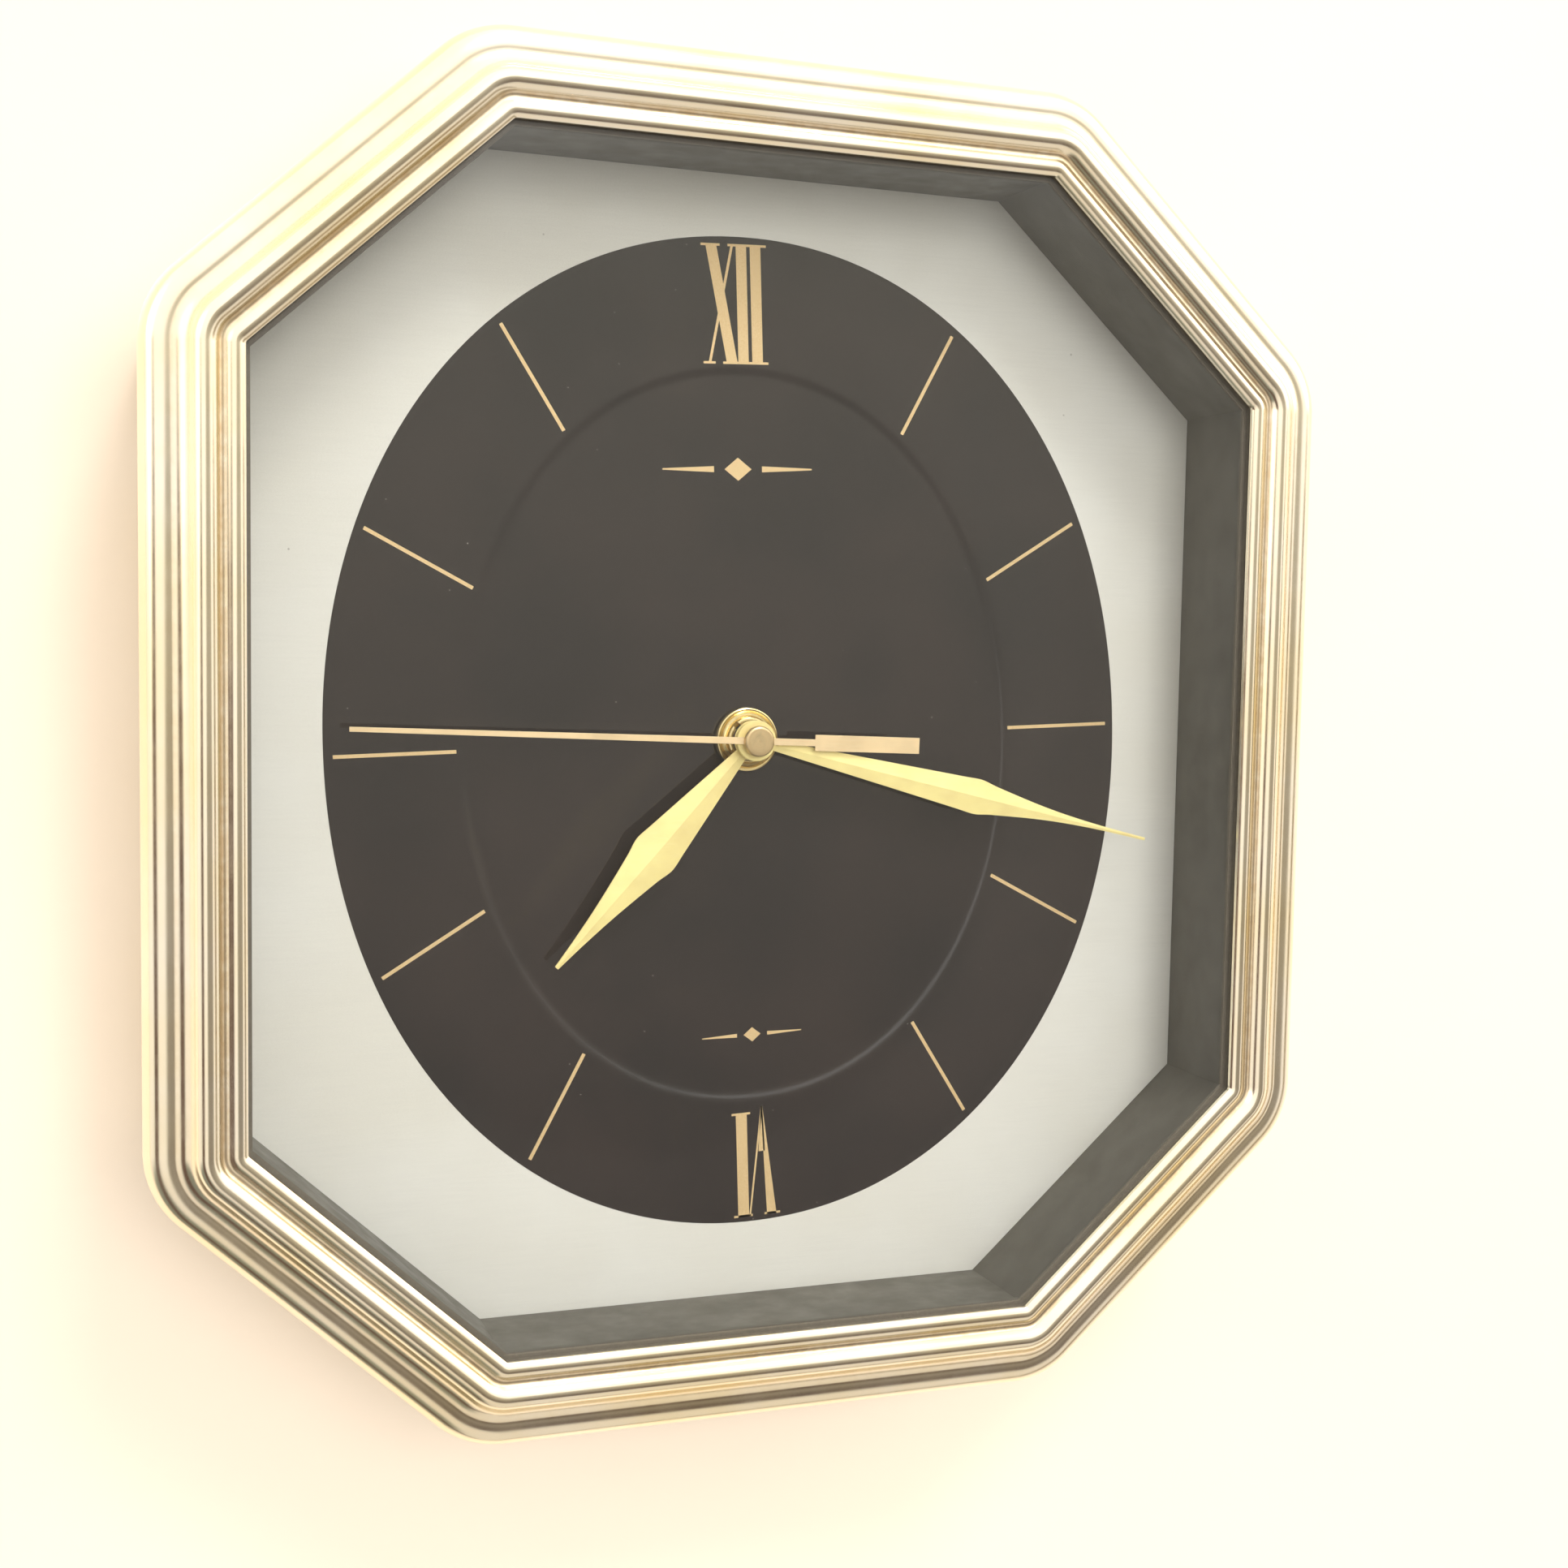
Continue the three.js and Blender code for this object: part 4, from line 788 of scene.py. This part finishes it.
def build_dial():
    """A silver sheet whose middle is pressed in along a smaller oval, with a black lacquered oval on it."""
    edge = oval(*OVAL, OVAL_SIDES)
    directions = [math.atan2(z, x) for x, z in edge]
    margin = octagon_rays(DIAL_REACH, directions)
    hole = [(DIAL_HOLE * math.cos(t), DIAL_HOLE * math.sin(t)) for t in directions]
    wide_hole = [(1.1 * x, 1.1 * z) for x, z in hole]
    thickness = (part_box("dial_plate")[1].y - DIAL_FACE) / MM

    def ring(points, height):
        return [on_dial(x, z, height, DIAL_TURN) for x, z in points]

    def pressed(level):
        """Rings down the step, from a face at this level to the face that is pressed in."""
        shares = (-0.2, 0, 0.15, 0.3, 0.5, 0.7, 0.85, 1, 1.2)
        eases = [(3 - 2 * t) * t * t for t in (min(max(share, 0), 1) for share in shares)]
        across, up = STEP_OVAL
        ovals = [oval(across - STEP_BEVEL * share, up - STEP_BEVEL * share, OVAL_SIDES) for share in shares]
        return [ring(points, level - STEP_DEPTH * ease) for points, ease in zip(ovals, eases)]

    sheet = loft("dial_sheet", [
        ring(margin, 0), ring(edge, 0), *pressed(0), ring(wide_hole, -STEP_DEPTH),
        ring(hole, -STEP_DEPTH - 0.05), ring(hole, -thickness), ring(margin, -thickness),
    ], closed=True, crease=30)
    fit(sheet, SILVER, "case", "dial_silver", "dial_plate")

    under = -0.01
    lacquer = loft("dial_lacquer", [
        ring(edge, under), ring(edge, LACQUER),
        ring(oval(OVAL[0] - 0.2, OVAL[1] - 0.2, OVAL_SIDES), LACQUER),
        *pressed(LACQUER), ring([(1.02 * x, 1.02 * z) for x, z in wide_hole], LACQUER - STEP_DEPTH),
        ring(wide_hole, LACQUER - STEP_DEPTH), ring(wide_hole, under - STEP_DEPTH), *reversed(pressed(under)),
    ], closed=True, crease=30)
    fit(lacquer, BLACK, "case", "dial_black")


def printed(name, outlines, level):
    """Gold print: outlines raised a hair above the lacquer, joined into one closed piece."""
    strokes = [prism(f"stroke_{i}", outline, level - 0.01, level + PRINT, DIAL_TURN)
               for i, outline in enumerate(outlines)]
    whole = strokes[0]
    if len(strokes) > 1:
        boolean(whole, strokes[1:], "UNION")
    whole.name = name
    whole.data.name = name
    fit(whole, PRINTED, "case", "print_gold")


def numeral(strokes, left, foot, width, height):
    """Stroke outlines given as shares of a numeral's width and height, in millimetres on the dial."""
    return [[(left + u * width, foot + v * height) for u, v in stroke] for stroke in strokes]


def bar(left, right, low, high):
    return [(left, low), (right, low), (right, high), (left, high)]


SERIF = 0.020
TWELVE = [
    [(0.36, 0.0), (0.525, 0.0), (0.235, 1.0), (0.07, 1.0)],
    [(0.075, 0.0), (0.115, 0.0), (0.50, 1.0), (0.46, 1.0)],
    bar(0.535, 0.695, 0.0, 1.0),
    bar(0.750, 0.915, 0.0, 1.0),
    bar(0.0, 0.185, 0.0, SERIF),
    bar(0.30, 1.0, 0.0, SERIF),
    bar(0.0, 0.29, 1 - SERIF, 1.0),
    bar(0.41, 1.0, 1 - SERIF, 1.0),
]
SIX_UPSIDE_DOWN = [
    bar(0.09, 0.325, 0.0, 0.975),
    bar(0.0, 0.40, 0.975 - SERIF, 0.975),
    bar(0.0, 0.40, 0.0, SERIF),
    [(0.715, 0.0), (0.92, 0.0), (0.665, 1.02), (0.632, 1.02)],
    [(0.325, 0.0), (0.362, 0.0), (0.665, 1.0), (0.632, 1.02)],
    [(0.560, 0.60), (0.700, 0.60), (0.665, 1.02), (0.632, 1.02)],
    bar(0.66, 1.0, 0.0, SERIF),
]


def build_print():
    """XII, VI upside down, ten ticks, and a plain lozenge ornament above and below the hands."""
    level = LACQUER
    across, up = OVAL
    width, height, gap = NUMERAL_TWELVE.values()
    printed("print_twelve", numeral(TWELVE, -width / 2, up - gap - height, width, height), level)
    width, height, gap = NUMERAL_SIX.values()
    printed("print_six", numeral(SIX_UPSIDE_DOWN, -width / 2, gap - up, width, height), level)

    half = TICK["width"] / 2
    for hour in (1, 2, 3, 4, 5, 7, 8, 9, 10, 11):
        angle = math.radians(90 - 30 * hour)
        c, s = math.cos(angle), math.sin(angle)
        reach = (abs(c / across) ** OVAL_POWER + abs(s / up) ** OVAL_POWER) ** (-1 / OVAL_POWER)
        start, end = reach - TICK["gap"] - TICK["length"], reach - TICK["gap"]
        corners = ((start, -half), (end, -half), (end, half), (start, half))
        printed(f"print_tick_{hour}", [[(r * c - w * s, r * s + w * c) for r, w in corners]], level)

    sunk = LACQUER - STEP_DEPTH
    for name, middle, width, height in ORNAMENTS:
        hair = height * 0.13
        half = height * 0.62
        lozenge = [(half, middle), (0, middle + height / 2), (-half, middle), (0, middle - height / 2)]
        for side, label in ((-1, "left"), (1, "right")):
            near, far = side * height * 1.1, side * width / 2
            wing = [(near, middle - hair), (far, middle - hair / 4), (far, middle + hair / 4),
                    (near, middle + hair)]
            printed(f"print_{name}_{label}", [wing], sunk)
        printed(f"print_{name}_lozenge", [lozenge], sunk)


# ---------------------------------------------------------------- hands and their fixing


def eased(points, steps):
    """A smooth curve through (x, y) points that doesn't overshoot between them."""
    slopes = []
    for i in range(len(points)):
        before = points[max(i - 1, 0)]
        after = points[min(i + 1, len(points) - 1)]
        slopes.append((after[1] - before[1]) / (after[0] - before[0]))
    curve = []
    for i in range(len(points) - 1):
        (ax, ay), (bx, by) = points[i], points[i + 1]
        span = bx - ax
        secant = (by - ay) / span
        m0, m1 = (0 if slope * secant < 0 else slope for slope in (slopes[i], slopes[i + 1]))
        m0 = math.copysign(min(abs(m0), 3 * abs(secant)), m0)
        m1 = math.copysign(min(abs(m1), 3 * abs(secant)), m1)
        for k in range(steps):
            t = k / steps
            h00, h10 = 2 * t ** 3 - 3 * t ** 2 + 1, t ** 3 - 2 * t ** 2 + t
            h01, h11 = 3 * t ** 2 - 2 * t ** 3, t ** 3 - t ** 2
            curve.append((ax + span * t, h00 * ay + h10 * span * m0 + h01 * by + h11 * span * m1))
    return curve + [points[-1]]


def leaf_hand(name, half_widths, collar_size, low, angle, look, body, node):
    """A stamped leaf: two facets that meet at a raised crease, and a flat collar on the pipe."""
    hub, bore = collar_size
    sheet = LEAF_SHEET
    rings = []
    for along, half in eased(half_widths, 8):
        crest = LEAF_CREASE * half
        section = [(-half, 0.0), (-half, sheet), (0, sheet + crest), (half, sheet), (half, 0.0), (0, crest)]
        rings.append([on_dial(along, w, low + h, angle) for w, h in section])
    leaf = loft(name, rings, crease=12)
    top = low + COLLAR_THICKNESS
    collar = turned(f"{name}_collar", [(bore, low), (hub - 0.1, low), (hub, low + 0.1), (hub, top - 0.12),
                                       (hub - 0.12, top), (bore, top)], HAND_AXIS, 72)
    boolean(leaf, [collar], "UNION")
    sharpen(leaf, 10)
    fit(leaf, look, body, "hand_gold", node)


def build_hands():
    """The three hands and the second hand's cap, at the heights their CAD nodes have."""
    hour_low = (DIAL_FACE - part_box("hour_hand")[1].y) / MM
    minute_low = (DIAL_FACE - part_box("minute_hand")[1].y) / MM
    leaf_hand("hour_hand_leaf", HOUR_LEAF, HOUR_COLLAR, hour_low, HOUR_ANGLE, HOUR_GOLD, "hours", "hour_hand")
    leaf_hand("minute_hand_leaf", MINUTE_LEAF, MINUTE_COLLAR, minute_low, MINUTE_ANGLE, MINUTE_GOLD,
              "minutes", "minute_hand")

    low, high = ((DIAL_FACE - corner.y) / MM for corner in reversed(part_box("second_hand")))
    side = [(SECOND_REACH, SECOND_TIP), (SECOND_BLADE_ROOT, SECOND_HALF), (WEIGHT_START, SECOND_HALF),
            (WEIGHT_START, WEIGHT_HALF), (WEIGHT_END, WEIGHT_HALF)]
    outline = [(SECOND_REACH, -SECOND_TIP), *side, *((x, -z) for x, z in reversed(side[1:]))]
    blade = prism("second_hand_blade", outline, low, high, SECOND_ANGLE)
    collar = turned("second_hand_collar", [(SECOND_BORE, low), (SECOND_HUB, low), (SECOND_HUB, high),
                                           (SECOND_BORE, high)], HAND_AXIS, 48)
    boolean(blade, [collar], "UNION")
    sharpen(blade)
    bevelled(blade, 0.06, 2)
    fit(blade, SECOND_GOLD, "seconds", "hand_gold", "second_hand")

    back, front = ((DIAL_FACE - y) / MM for y in (cap_high.y, cap_low.y))
    cap = turned("second_hand_button", [
        (0, front - 0.02), (2.2, front), (2.5, front - 0.02), (2.78, front - 0.12), (2.94, front - 0.3),
        (3.0, front - 0.5), (3.0, back + 0.1), (2.92, back), (0.7, back), (SECOND_BORE, back + 0.8),
        (0, back + 0.8)], HAND_AXIS, 96)
    fit(cap, CAP_GOLD, "seconds", "hand_gold", "second_hand_cap")


def build_fixing():
    """The slotted nut and its washer, which clamp the dial to the movement's bush."""
    seat = LACQUER - STEP_DEPTH + 0.02
    washer = turned("dial_washer", [(3.5, seat), (5.9, seat), (6.0, 0.05), (6.0, 0.35), (5.9, 0.4), (3.5, 0.4)],
                    HAND_AXIS, 96)
    fit(washer, BRASS, "case", "nut_brass", "fixing_washer")
    nut = turned("slotted_nut", [
        (3.5, 0.45), (6.2, 0.45), (6.36, 0.6), (6.4, 0.85), (6.36, 1.25), (6.22, 1.5), (6.0, 1.62), (5.75, 1.58),
        (5.5, 1.35), (5.2, 1.2), (4.9, 1.25), (4.62, 1.5), (4.5, 1.9), (4.46, 2.8), (4.36, 3.02), (4.2, 3.1),
        (3.7, 3.1), (3.5, 2.95)], HAND_AXIS, 128)
    slots = []
    for i, turn in enumerate((DIAL_TURN + 42, DIAL_TURN + 132)):
        slots.append(prism(f"slot_{i}", [(-6, -0.6), (6, -0.6), (6, 0.6), (-6, 0.6)], 2.05, 3.6, turn))
    boolean(nut, slots, "DIFFERENCE")
    sharpen(nut)
    fit(nut, BRASS, "case", "nut_brass", "fixing_nut")


# ---------------------------------------------------------------- rear


def dress(look, *names, edge=0.0):
    """Gives CAD nodes a finish and, if asked, small rounded edges."""
    for name in names:
        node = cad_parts[name]
        node.data.materials.clear()
        node.data.materials.append(look)
        if edge:
            bevelled(node, edge)


def build_rear():
    screws = [f"case_screw_{i + 1}" for i in range(8)] + ["hanger_screw_1", "hanger_screw_2"]
    dress(ANTHRACITE, "sight_ring", edge=0.08)
    dress(SEAL, "glass_seal", "seal_washer")
    dress(BACK, "back_case", edge=0.25)
    dress(SCREW, *screws)
    dress(ZINC, "hanger_plate", edge=0.12)
    dress(FELT, "wall_bumper_1", "wall_bumper_2", edge=0.2)
    dress(MOVEMENT, "movement_base", "movement_cover", edge=0.15)
    dress(MOVEMENT, "driver_chip")
    dress(GEAR, "train_plate", "intermediate_wheel", "seconds_wheel", "third_wheel", "centre_wheel",
          "motion_wheel", "hour_wheel", "setting_knob")
    dress(BRASS, "cannon_pinion")
    dress(LAMINATION, "stator")
    dress(NICKEL, "battery_contact_minus", "battery_contact_plus")
    dress(SCREW, "quartz_crystal")
    dress(COPPER, "coil")
    dress(BOARD, "circuit_board")
    dress(MAGNET, "rotor")
    low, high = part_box("battery")
    dress(battery_jacket(low.x, high.x - low.x), "battery")


# ---------------------------------------------------------------- stage, light and camera


def wall_look():
    """Painted wall, open from behind and to shadow rays, so that the clock's rear can be seen and lit."""
    look = Look("painted_wall", (0.72, 0.63, 0.53), 0.85)
    look.color(look.mixed(look.noise(160, 3), (0.70, 0.61, 0.51), (0.74, 0.655, 0.56)))
    look.bump(look.noise(2.4, 3), 0.12, 0.3)
    behind = look.node("ShaderNodeNewGeometry").outputs["Backfacing"]
    look.open_to(look.sum(behind, look.shadow_ray(), "MAXIMUM"), (1, 1, 1, 1))
    return look.material


def floor_look():
    look = Look("pale_floor", (0.62, 0.60, 0.57), 0.6)
    look.color(look.mixed(look.noise(300, 4), (0.60, 0.58, 0.55), (0.66, 0.64, 0.61)))
    look.bump(look.noise(8, 3), 0.2, 0.3)
    return look.material


def flat_stage(name, corners, look):
    mesh = bpy.data.meshes.new(name)
    mesh.from_pydata(corners, [], [(0, 1, 2, 3)])
    mesh.materials.append(look)
    piece = new_object(name, mesh)
    return piece


def build_stage():
    reach, behind, drop = 4.0, cad_high.y + 0.0004, -1.3
    flat_stage("stage_wall", [(-reach, behind, drop), (reach, behind, drop), (reach, behind, reach),
                              (-reach, behind, reach)], wall_look())
    floor = flat_stage("stage_floor", [(-reach, -reach, drop), (reach, -reach, drop), (reach, reach, drop),
                                       (-reach, reach, drop)], floor_look())
    floor.visible_glossy = False
    floor.visible_transmission = False


def area_light(name, place, power, size, color):
    """A soft square lamp that faces the clock."""
    lamp = bpy.data.lights.new(name, "AREA")
    lamp.energy = power
    lamp.size = size
    lamp.color = color
    holder = bpy.data.objects.new(name, lamp)
    bpy.context.scene.collection.objects.link(holder)
    holder.location = place
    away = CASE_CENTRE - Vector(place)
    holder.rotation_mode = "QUATERNION"
    holder.rotation_quaternion = away.to_track_quat("-Z", "Y")
    holder.visible_camera = False
    return holder


def build_lights():
    area_light("key", (0.34, -1.25, 1.36), 12.5, 0.5, (1.0, 0.985, 0.96))
    fill = area_light("fill", (0.15, -1.8, 0.2), 19, 0.9, (1.0, 0.98, 0.95))
    fill.visible_glossy = False
    fill.visible_transmission = False
    area_light("rear_key", (-0.7, 1.2, 0.7), 13, 0.7, (1.0, 0.98, 0.95))
    area_light("rear_fill", (1.0, 1.0, -0.3), 6, 1.0, (0.97, 0.98, 1.0))


def build_world():
    """A bright room with a dim side in front of the clock for the mirror finish. The lens sees pale grey."""
    world = bpy.data.worlds.new("studio")
    bpy.context.scene.world = world
    world.use_nodes = True
    tree = world.node_tree
    tree.nodes.clear()

    def node(kind, **settings):
        made = tree.nodes.new(kind)
        for setting, value in settings.items():
            setattr(made, setting, value)
        return made

    def between(value, start, end, kind="SMOOTHSTEP"):
        """0 at the start and 1 at the end, and held beyond them."""
        made = node("ShaderNodeMapRange", interpolation_type=kind)
        made.inputs["From Min"].default_value = start
        made.inputs["From Max"].default_value = end
        tree.links.new(value, made.inputs["Value"])
        return made.outputs["Result"]

    def combined(operation, *values):
        made = node("ShaderNodeMath", operation=operation)
        for value, socket in zip(values, made.inputs):
            if isinstance(value, (int, float)):
                socket.default_value = value
            else:
                tree.links.new(value, socket)
        return made.outputs[0]

    def facing(direction, inner, outer):
        """1 inside a cone about a direction, falling to 0 at its edge; the limits are cosines."""
        dot = node("ShaderNodeVectorMath", operation="DOT_PRODUCT")
        dot.inputs[1].default_value = Vector(direction).normalized()
        tree.links.new(coordinates, dot.inputs[0])
        return between(dot.outputs["Value"], outer, inner)

    def upright(azimuth, half_width, softness):
        """1 in an upright band of the room below the windows; 0 degrees is ahead and 90 to the right."""
        ahead = combined("MULTIPLY", height.outputs["Y"], -1)
        around = combined("ARCTAN2", height.outputs["X"], ahead)
        distance = combined("ABSOLUTE", combined("SUBTRACT", around, math.radians(azimuth)))
        soft = between(distance, math.radians(half_width + softness), math.radians(half_width))
        return combined("MULTIPLY", soft, between(height.outputs["Z"], 0.22, 0.06))

    def over(share, one, two):
        mix = node("ShaderNodeMix", data_type="RGBA")
        sockets = [s for s in mix.inputs if s.type == "RGBA"]
        tree.links.new(share, mix.inputs["Factor"])
        for value, socket in zip((one, two), sockets):
            if isinstance(value, tuple):
                socket.default_value = (*value, 1)
            else:
                tree.links.new(value, socket)
        return next(s for s in mix.outputs if s.type == "RGBA")

    coordinates = node("ShaderNodeTexCoord").outputs["Generated"]
    height = node("ShaderNodeSeparateXYZ")
    tree.links.new(coordinates, height.inputs[0])
    climb = between(height.outputs["Z"], -0.55, 0.35, "LINEAR")
    room = over(climb, (1.18, 1.09, 0.98), (2.0, 1.95, 1.88))
    dim = over(climb, (0.14, 0.10, 0.09), (0.92, 0.86, 0.72))
    room = over(facing((-0.60, -0.36, -0.72), 0.93, 0.86), room, (0.34, 0.36, 0.31))
    room = over(upright(-50, 8, 4), room, (0.17, 0.10, 0.08))
    room = over(upright(68, 5, 3), room, (0.42, 0.30, 0.16))
    room = over(facing((0.33, -0.94, -0.20), 0.92, 0.87), room, dim)
    room = over(facing((0.80, -0.30, 0.52), 0.95, 0.90), room, (4.2, 4.0, 3.7))
    room = over(facing((-0.85, -0.40, 0.35), 0.96, 0.92), room, (3.0, 2.8, 2.5))

    lit = node("ShaderNodeBackground")
    lit.inputs["Strength"].default_value = 0.7
    tree.links.new(room, lit.inputs["Color"])
    plain = node("ShaderNodeBackground")
    plain.inputs["Color"].default_value = (0.90, 0.89, 0.87, 1)
    both = node("ShaderNodeMixShader")
    tree.links.new(node("ShaderNodeLightPath").outputs["Is Camera Ray"], both.inputs[0])
    tree.links.new(lit.outputs[0], both.inputs[1])
    tree.links.new(plain.outputs[0], both.inputs[2])
    tree.links.new(both.outputs[0], node("ShaderNodeOutputWorld").inputs["Surface"])


def build_camera():
    """A close phone view from the left, turned a little past the clock's centre."""
    from_centre = Vector((-0.1171, -0.3597, 0.0194))
    forward = Vector((0.3289, 0.9417, -0.0707)).normalized()
    right = forward.cross(Vector((0.0074, 0.0723, 0.9974))).normalized()
    up = right.cross(forward)
    camera = bpy.data.objects.new("camera", bpy.data.cameras.new("camera"))
    bpy.context.scene.collection.objects.link(camera)
    camera.data.lens = 43.67
    camera.data.sensor_width = 36.0
    camera.data.clip_start = 0.01
    place = CASE_CENTRE + Vector((0, DIAL_FACE, 0)) + from_centre
    camera.matrix_world = Matrix.Translation(place) @ Matrix((right, up, -forward)).transposed().to_4x4()
    bpy.context.scene.camera = camera


build_camera()
build_frame()
build_glass()
build_dial()
build_print()
build_hands()
build_fixing()
build_rear()
build_stage()
build_lights()
build_world()

scene = bpy.context.scene
scene.view_settings.view_transform = "Standard"
scene.cycles.use_denoising = True
